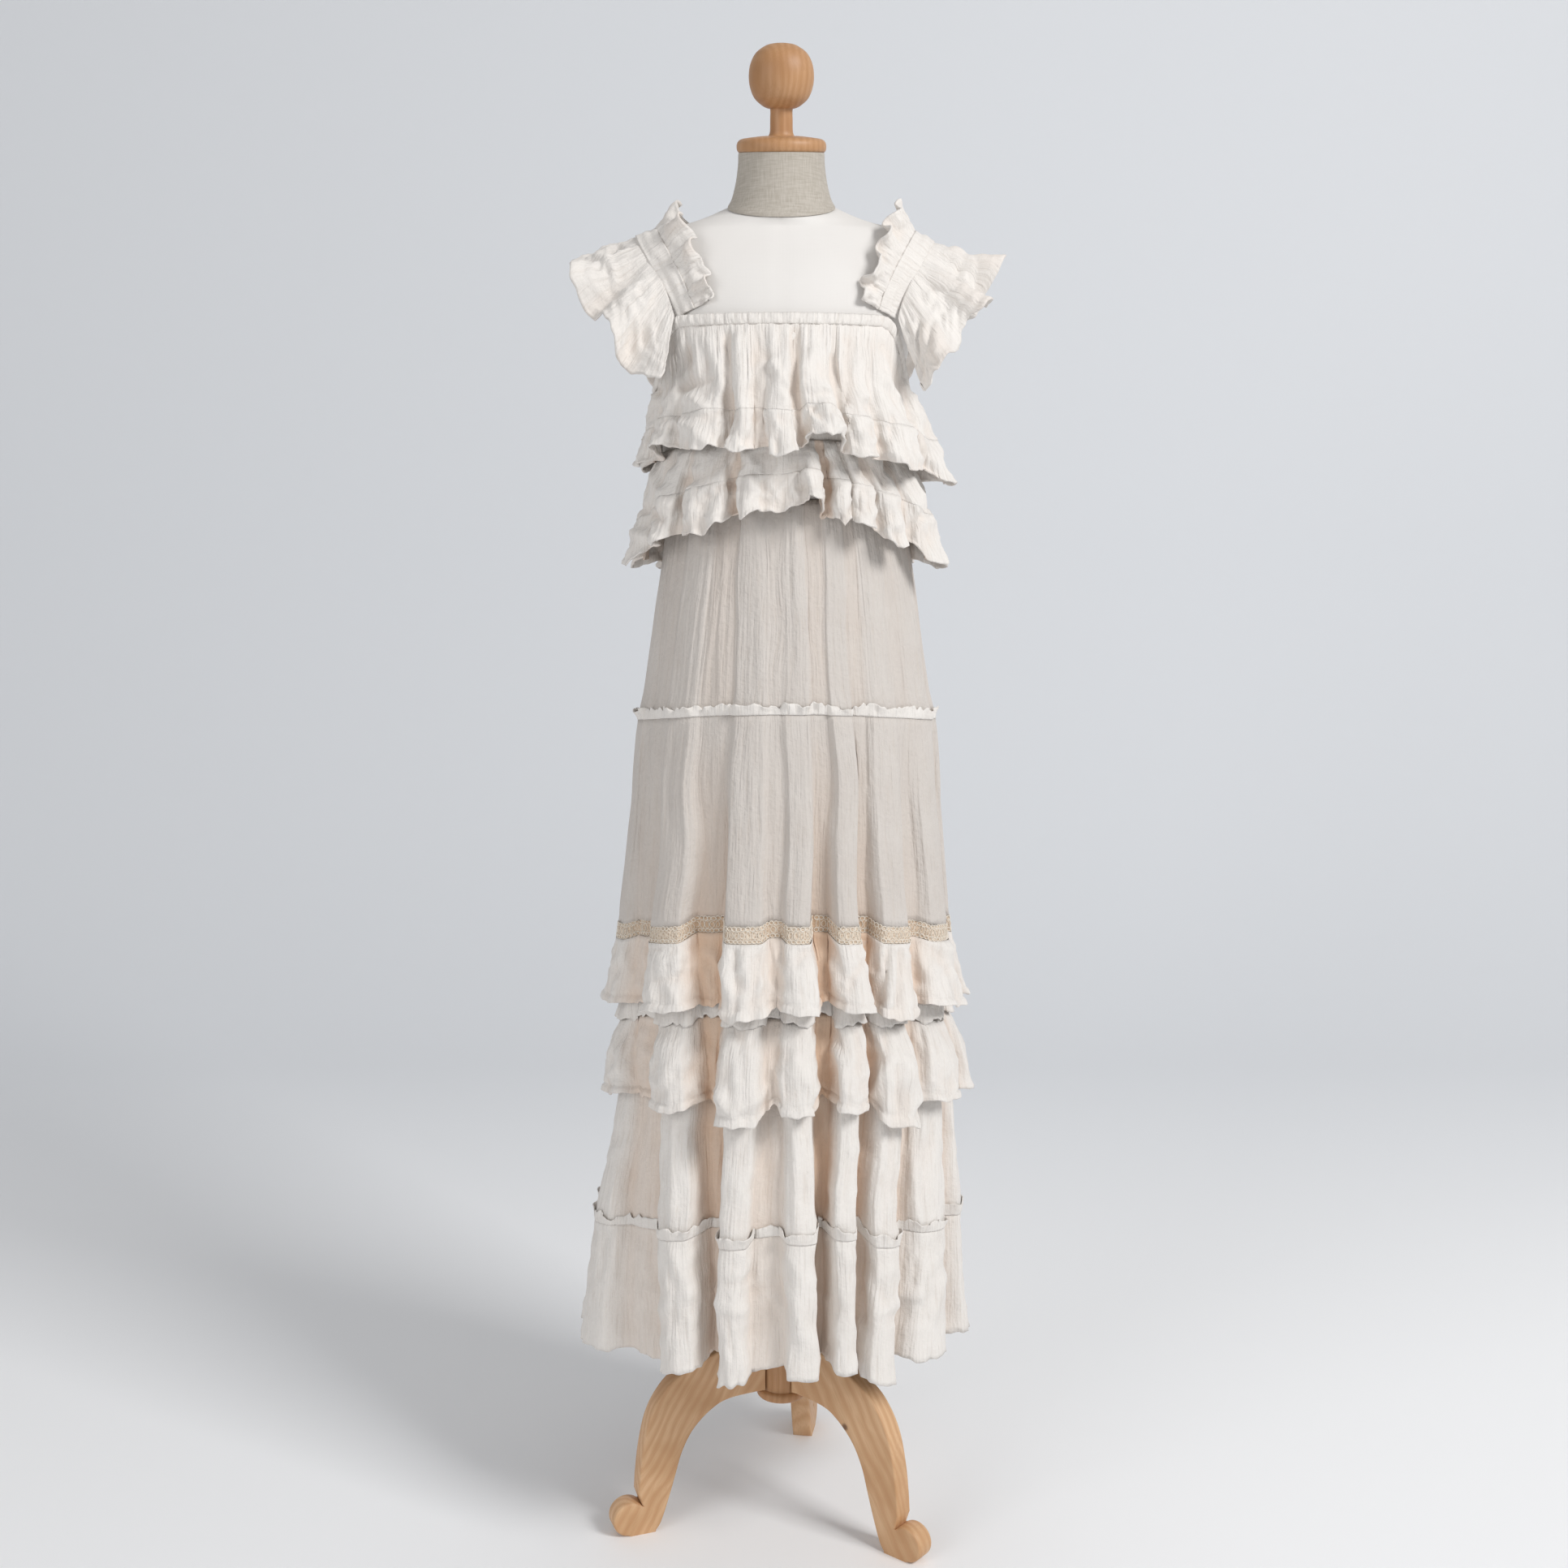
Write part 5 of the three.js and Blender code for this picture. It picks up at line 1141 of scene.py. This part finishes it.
def loops_along(material):
    """Node tree that sews small thread loops along guide lines, facing out from the cloth."""
    made = bpy.data.node_groups.new("loops_along_lines", "GeometryNodeTree")
    made.interface.new_socket("Geometry", in_out="INPUT", socket_type="NodeSocketGeometry")
    for label in ("Spacing", "Loop width", "Loop height", "Thread"):
        made.interface.new_socket(label, in_out="INPUT", socket_type="NodeSocketFloat")
    made.interface.new_socket("Seed", in_out="INPUT", socket_type="NodeSocketInt")
    made.interface.new_socket("Geometry", in_out="OUTPUT", socket_type="NodeSocketGeometry")
    given = put(made, "NodeGroupInput").outputs
    line = put(made, "GeometryNodeMeshToCurve", {"Mesh": given["Geometry"]})
    even = put(made, "GeometryNodeResampleCurve", {"Curve": line.outputs[0], "Length": given["Spacing"]},
               mode="LENGTH")
    ring = put(made, "GeometryNodeCurvePrimitiveCircle", {"Resolution": 9, "Radius": 1.0})
    size = put(made, "ShaderNodeCombineXYZ", {"X": given["Loop width"], "Y": given["Loop height"], "Z": 1.0})
    oval = put(made, "GeometryNodeTransform", {"Geometry": ring.outputs[0], "Scale": size.outputs[0]})
    section = put(made, "GeometryNodeCurvePrimitiveCircle", {"Resolution": 4, "Radius": given["Thread"]})
    loop = put(made, "GeometryNodeCurveToMesh", {
        "Curve": oval.outputs[0], "Profile Curve": section.outputs[0]})
    way = put(made, "GeometryNodeInputNamedAttribute", {"Name": "out"}, data_type="FLOAT_VECTOR")
    tangent = put(made, "GeometryNodeInputTangent")
    face = put(made, "FunctionNodeAxesToRotation",
               {"Primary Axis": way.outputs[0], "Secondary Axis": tangent.outputs[0]},
               primary_axis="Z", secondary_axis="X")
    vary = put(made, "FunctionNodeRandomValue",
               {"Min": (0.8, 0.8, 1.0), "Max": (1.2, 1.2, 1.0), "Seed": given["Seed"]},
               data_type="FLOAT_VECTOR")
    spread = put(made, "GeometryNodeInstanceOnPoints", {
        "Points": even.outputs[0], "Instance": loop.outputs[0], "Rotation": face.outputs[0],
        "Scale": vary.outputs[0]})
    real = put(made, "GeometryNodeRealizeInstances", {"Geometry": spread.outputs[0]})
    coloured = put(made, "GeometryNodeSetMaterial", {"Geometry": real.outputs[0], "Material": material})
    put(made, "NodeGroupOutput", {"Geometry": coloured.outputs[0]})
    return made


def grown(piece, tree, **values):
    """A plain mesh of what a node tree grows on a guide, with its named inputs set."""
    grower = piece.modifiers.new("grow", "NODES")
    grower.node_group = tree
    for item in tree.interface.items_tree:
        if item.in_out == "INPUT" and item.name in values:
            grower[item.identifier] = values[item.name]
    made = bpy.data.meshes.new_from_object(piece.evaluated_get(bpy.context.evaluated_depsgraph_get()))
    piece.modifiers.remove(grower)
    piece.data = made
    made.polygons.foreach_set("use_smooth", [True] * len(made.polygons))
    return piece


loops = loops_along(thread)
LACE_ROWS = 13
# Loops: rows of the band they lie on, and the node tree's sizes in metres
LACE_LOOPS = {
    "lace_loops": ((7,), {"Spacing": 0.0068, "Loop width": 0.0026, "Loop height": 0.0042, "Thread": 0.00045,
                          "Seed": 3}),
    "lace_edge": ((3, 11), {"Spacing": 0.0054, "Loop width": 0.0029, "Loop height": 0.0022, "Thread": 0.00060,
                            "Seed": 4}),
}
for half, columns in SKIRT_COLUMNS.items():
    deep = columns["deep"]
    grid = skirt_at(half, np.linspace(LACE_FOOT_Z + SEAM_GAP, LACE_TOP_Z, LACE_ROWS))
    u, v, still, _ = laid_out(grid)
    relief = (0.7 * noise(u / 7, v / 18, 111) + 1.1 * noise(u / 21, 0.5, 112)) * still
    grid = raised(grid, relief)
    grid[-1, :, 2] += 0.9 * np.sin(u / 4.2)
    # Painted shade: the band turns browner in the fold valleys
    band = shell(f"lace_band_{half}", grid, CLOTH, lace, 0.75 * deep)
    threads = [grown(guide(f"{name}_{half}", grid, rows), loops, **sizes)
               for name, (rows, sizes) in LACE_LOOPS.items()]
    for piece in (band, *threads):
        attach(piece, "root")
        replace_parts(piece, f"lace_insertion_{half}")

# Third tier: a long plain round of gauze below the lace. The two ruffles cover its upper half, and
# its lower half shows as recessed folds, drawn in and shaded by the ruffle above.
TIER_3_CREASES = (
    (-127, 579, -127, 427, 1.6, 5), (-18, 577, -14, 437, -1.6, 5), (-3, 564, -6, 447, 1.4, 5),
    (15, 564, 18, 439, 2.6, 4), (45, 560, 49, 452, -2.6, 4), (68, 568, 65, 439, 1.6, 4),
    (129, 564, 136, 431, -2.2, 5), (152, 544, 161, 423, 2.4, 5), (179, 533, 164, 447, -1.6, 6))
for half, columns in SKIRT_COLUMNS.items():
    deep = columns["deep"]
    shown = np.linspace(TIER_3_FOOT_Z + SEAM_GAP, 600, int(28 * FINENESS[half]))
    covered = np.linspace(620, LACE_FOOT_Z, 6)
    grid = skirt_at(half, np.concatenate([shown, covered]))
    u, v, still, up = laid_out(grid)
    relief = (0.9 * gathers(u, v, 7, 130, 121) + 1.8 * crumples(u, v, 34, 124)
              + creased(grid, TIER_3_CREASES)) * still
    grid = raised(grid, relief * smooth((0.6 - up) * 3) * smooth(up * 12))
    # Painted shade: warm in the valleys between folds and in the relief's troughs
    third = shell(f"gauze_tier_3_{half}", grid, CLOTH, gauze, 0.75 * deep ** 1.5 + 0.7 * relief_trough_shade(relief))
    sewn(third, f"tier_3_{half}", cut_of(grid), "hung", f"lace_band_{half}")

# Skirt ruffles: two deep strips gathered on the third tier, one over the other. They flare from
# their seams in broad rounded folds, and their turned hems are 9 mm deep and curl at the folds.
RUFFLES = {
    "ruffle_upper": (
        dict(z=666, rise=29, left=217, right=229, front=182, back=186, fold=34, spread=1.3, drop=0.4),
        dict(z=708, rise=26, left=208, right=218, front=169, back=176, fold=28, spread=0.9, drop=0),
        744, "lace_band", 131, (
            (-148, 752, -114, 759, -1.8, 4), (-147, 737, -111, 747, 2.0, 5),
            (-150, 714, -113, 727, -2.0, 4), (-54, 773, -52, 697, -2.2, 4), (-42, 760, -39, 726, 1.8, 4),
            (-73, 741, -53, 710, 2.2, 5), (-25, 752, -34, 703, -1.8, 4), (9, 756, 17, 710, 2.0, 5),
            (34, 769, 19, 747, -1.6, 4), (59, 741, 67, 710, 2.0, 4), (94, 745, 73, 715, -1.8, 4),
            (124, 765, 114, 697, -2.8, 4), (131, 767, 126, 694, 2.4, 4), (138, 773, 136, 697, -2.8, 4),
            (151, 769, 159, 707, -2.6, 4), (159, 741, 171, 714, 2.4, 5), (165, 767, 198, 717, -2.4, 5),
            (176, 769, 201, 739, 2.2, 5), (-186, 765, -177, 718, -1.6, 5))),
    "ruffle_lower": (
        dict(z=552, rise=33, left=216, right=232, front=188, back=193, fold=36, spread=1.3, drop=1),
        dict(z=604, rise=31, left=211, right=223, front=178, back=183, fold=31, spread=1.2, drop=0.2),
        646, "gauze_tier_3", 141, (
            (-148, 692, -157, 632, -1.8, 5), (-121, 641, -140, 599, 2.2, 6), (-49, 671, -45, 595, -2.0, 5),
            (-58, 656, -32, 640, 1.6, 5), (-72, 591, -57, 572, 2.8, 5), (-18, 601, -51, 576, 2.2, 5),
            (6, 662, 3, 591, -1.8, 5), (17, 633, 40, 599, 2.0, 6), (63, 641, 75, 599, 2.6, 4),
            (87, 671, 91, 599, -2.0, 4), (123, 679, 120, 618, -2.4, 4), (120, 620, 108, 582, 2.8, 4),
            (134, 620, 140, 567, -2.8, 4), (147, 620, 160, 577, 2.8, 5), (169, 688, 176, 591, 2.8, 5),
            (-181, 681, -189, 626, -1.8, 5))),
}
TURNED_HEM = 9
RUFFLE_RELIEF = {
    "gather": (1.1, 6.5, 70, 0.5), "crumple": 27, "wave": (4.0, 24, 90), "curl": (3.6, 11, 40),
    "edge": (4.0, 19), "ends": 3, "hold": 7}


def seeds_from(seed):
    """Seeds of the six random parts of a hanging relief."""
    return tuple(seed + part for part in (0, 3, 5, 8, 6, 7))


for name, (hem, middle, top, above, seed, creases) in RUFFLES.items():
    look = {**RUFFLE_RELIEF, "seeds": seeds_from(seed)}
    for half, columns in SKIRT_COLUMNS.items():
        lift = columns["lift"] + 0.12 * columns["crown"]
        levels = []
        for row in (hem, middle):
            heading = heading_at(columns, [row["z"]], row["spread"], SKIRT_SWAY)
            drop = row["drop"] * (columns["drop"] + 2 * columns["crown"])
            levels.append(round_points(row, heading, lift, drop)[0])
        levels.append(moved_out(skirt_at(half, [top]), LAID_ON)[0])
        grid = loft(levels, int(26 * FINENESS[half]))
        relief, rise, v = hung_relief(grid, creases, 2.8, look)
        # Painted shade: warm in the valleys between folds and in the relief's troughs
        deep = 0.85 * columns["deep"] ** 1.5 + relief_trough_shade(relief)
        stitched = 1.5 * np.exp(-((v - TURNED_HEM) / 1.9) ** 2)
        grid = raised(grid, relief + 1.2 * smooth((TURNED_HEM - v) / 2) - stitched)
        grid[..., 2] += rise
        thick = np.where(v < TURNED_HEM, HEM_THICK, CLOTH)
        ruffle = shell(f"gauze_{name}_{half}", grid, thick, gauze, deep)
        sewn(ruffle, f"{name}_{half}", cut_of(grid), "gathered", f"{above}_{half}")

# Hem tier: the lowest round of gauze, gathered on the third tier and hanging in deep folds to the
# stand's legs. Its wide double-turned hem is sewn 22 mm up, and its edge ripples.
WIDE_HEM, HEM_FOLD = 22, 4
TIER_4_RELIEF = {
    "gather": (1.0, 7, 80, 0.5), "crumple": 33, "wave": (3.0, 26, 90), "curl": (2.4, 8, 40),
    "edge": (4.0, 20), "ends": 4, "hold": 9, "seeds": seeds_from(151)}
TIER_4_CREASES = (
    (-193, 463, -201, 368, 2.4, 6), (-156, 448, -157, 368, -2.6, 4), (-135, 418, -109, 354, 1.8, 7),
    (-68, 374, -37, 378, -1.6, 4), (-74, 350, -42, 343, 1.6, 5), (16, 432, 17, 318, 2.2, 5),
    (39, 440, 49, 352, -2.0, 5), (-31, 360, -5, 364, -1.3, 4), (92, 413, 94, 320, -3.0, 4),
    (112, 332, 161, 338, 2.4, 5), (114, 360, 130, 320, -2.0, 5), (191, 348, 181, 311, 2.6, 6),
    (165, 399, 156, 350, -1.8, 5), (-212, 399, -219, 340, -1.6, 6))
for half, columns in SKIRT_COLUMNS.items():
    deep = columns["deep"]
    grid = skirt_at(half, np.linspace(HEM_Z, TIER_3_FOOT_Z, int(30 * FINENESS[half])))
    relief, rise, v = hung_relief(grid, TIER_4_CREASES, 2.2, TIER_4_RELIEF)
    stitched = 0.9 * np.exp(-((v - WIDE_HEM) / 1.6) ** 2)
    relief = relief + 0.8 * smooth((WIDE_HEM + 1 - v) / 2) - stitched
    grid = raised(grid, relief)
    grid[..., 2] += rise
    thick = np.where(v < HEM_FOLD, HEM_THICK, CLOTH)
    # Painted shade: warm in the valleys between folds and in the relief's troughs
    fourth = shell(f"gauze_tier_4_{half}", grid, thick, gauze, 0.5 * deep ** 1.5 + 0.6 * relief_trough_shade(relief))
    sewn(fourth, f"tier_4_{half}", cut_of(grid), "gathered", f"gauze_tier_3_{half}")

# Studio: a pale seamless floor that sweeps up behind the stand, one broad soft light above and in
# front, a weaker one on the other side, and an even pale surround.

# Seamless paper: matt and nearly white under the stand, with painted shade that turns it a cool pale grey
# where it rises behind
paper, tree = new_material("paper_pale")
place = put(tree, "ShaderNodeTexCoord").outputs["Object"]
drift = put(tree, "ShaderNodeTexNoise", {"Vector": place, "Scale": 0.6, "Detail": 1.0})
tone = put(tree, "ShaderNodeMix", {
    "Factor": drift.outputs["Fac"], 6: linear("#F4F4F4"), 7: linear("#F1F1F2")}, data_type="RGBA")
# Painted shade: the paper turns grey the further it lies behind the stand
depth = put(tree, "ShaderNodeSeparateXYZ", {"Vector": place}).outputs["Y"]
back = put(tree, "ShaderNodeMapRange", {"Value": depth, 1: 0.2, 2: 2.6, 3: 0.0, 4: 1.0},
           interpolation_type="SMOOTHSTEP")
tone = put(tree, "ShaderNodeMix", {"Factor": back.outputs[0], 6: tone.outputs[2], 7: linear("#E1E3E6")},
           data_type="RGBA")
finish_material(tree, put(tree, "ShaderNodeBsdfPrincipled", {
    "Base Color": tone.outputs[2], "Roughness": 0.9}))
SWEEP = {"near": -5.0, "bend": 1.9, "radius": 1.2, "top": 5.0, "half": 6.0}
turn = np.radians(np.linspace(-90, 0, 16))
profile = [(SWEEP["near"], 0.0)]
for t in turn:
    profile.append((SWEEP["bend"] + SWEEP["radius"] * math.cos(t), SWEEP["radius"] * (1 + math.sin(t))))
profile.append((SWEEP["bend"] + SWEEP["radius"], SWEEP["top"]))
points = [(x / MM, y / MM, z / MM) for y, z in profile for x in (-SWEEP["half"], SWEEP["half"])]
strips = [(2 * i, 2 * i + 1, 2 * i + 3, 2 * i + 2) for i in range(len(profile) - 1)]
floor = mesh_object("paper_floor", points, strips, paper)

scene = bpy.context.scene
scene.view_settings.view_transform = "Standard"
surround = bpy.data.worlds.new("pale_surround")
surround.use_nodes = True
SURROUND = {"Color": linear("#F1F2F4"), "Strength": 0.44}
for key, value in SURROUND.items():
    surround.node_tree.nodes["Background"].inputs[key].default_value = value
scene.world = surround
# Lights: place, aim, size in metres and power in watts
LIGHTS = {
    "soft_key": ((3.6, -2.9, 4.3), (0, 0, 0.9), 1.8, 225),
    "soft_fill": ((-3.6, -4.0, 2.4), (0, 0, 0.9), 3.0, 70),
}
for name, (place, aim, size, power) in LIGHTS.items():
    lamp = bpy.data.lights.new(name, "AREA")
    lamp.size, lamp.energy = size, power
    holder = bpy.data.objects.new(name, lamp)
    holder.location = place
    way = np.array(aim) - np.array(place)
    yaw, pitch = math.atan2(way[1], way[0]), math.atan2(math.hypot(way[0], way[1]), -way[2])
    holder.rotation_euler = (pitch, 0, yaw - math.pi / 2)
    scene.collection.objects.link(holder)

# Camera: place in metres, turn up from straight down in degrees, and lens and sensor in millimetres
CAMERA = {"place": (0.003, -2.175, 1.235), "turn": 82, "lens": 41.59, "sensor": 36}
eye = bpy.data.cameras.new("camera")
eye.lens, eye.sensor_width = CAMERA["lens"], CAMERA["sensor"]
camera = bpy.data.objects.new("camera", eye)
camera.location = CAMERA["place"]
camera.rotation_euler = (math.radians(CAMERA["turn"]), 0, 0)
scene.collection.objects.link(camera)
scene.camera = camera
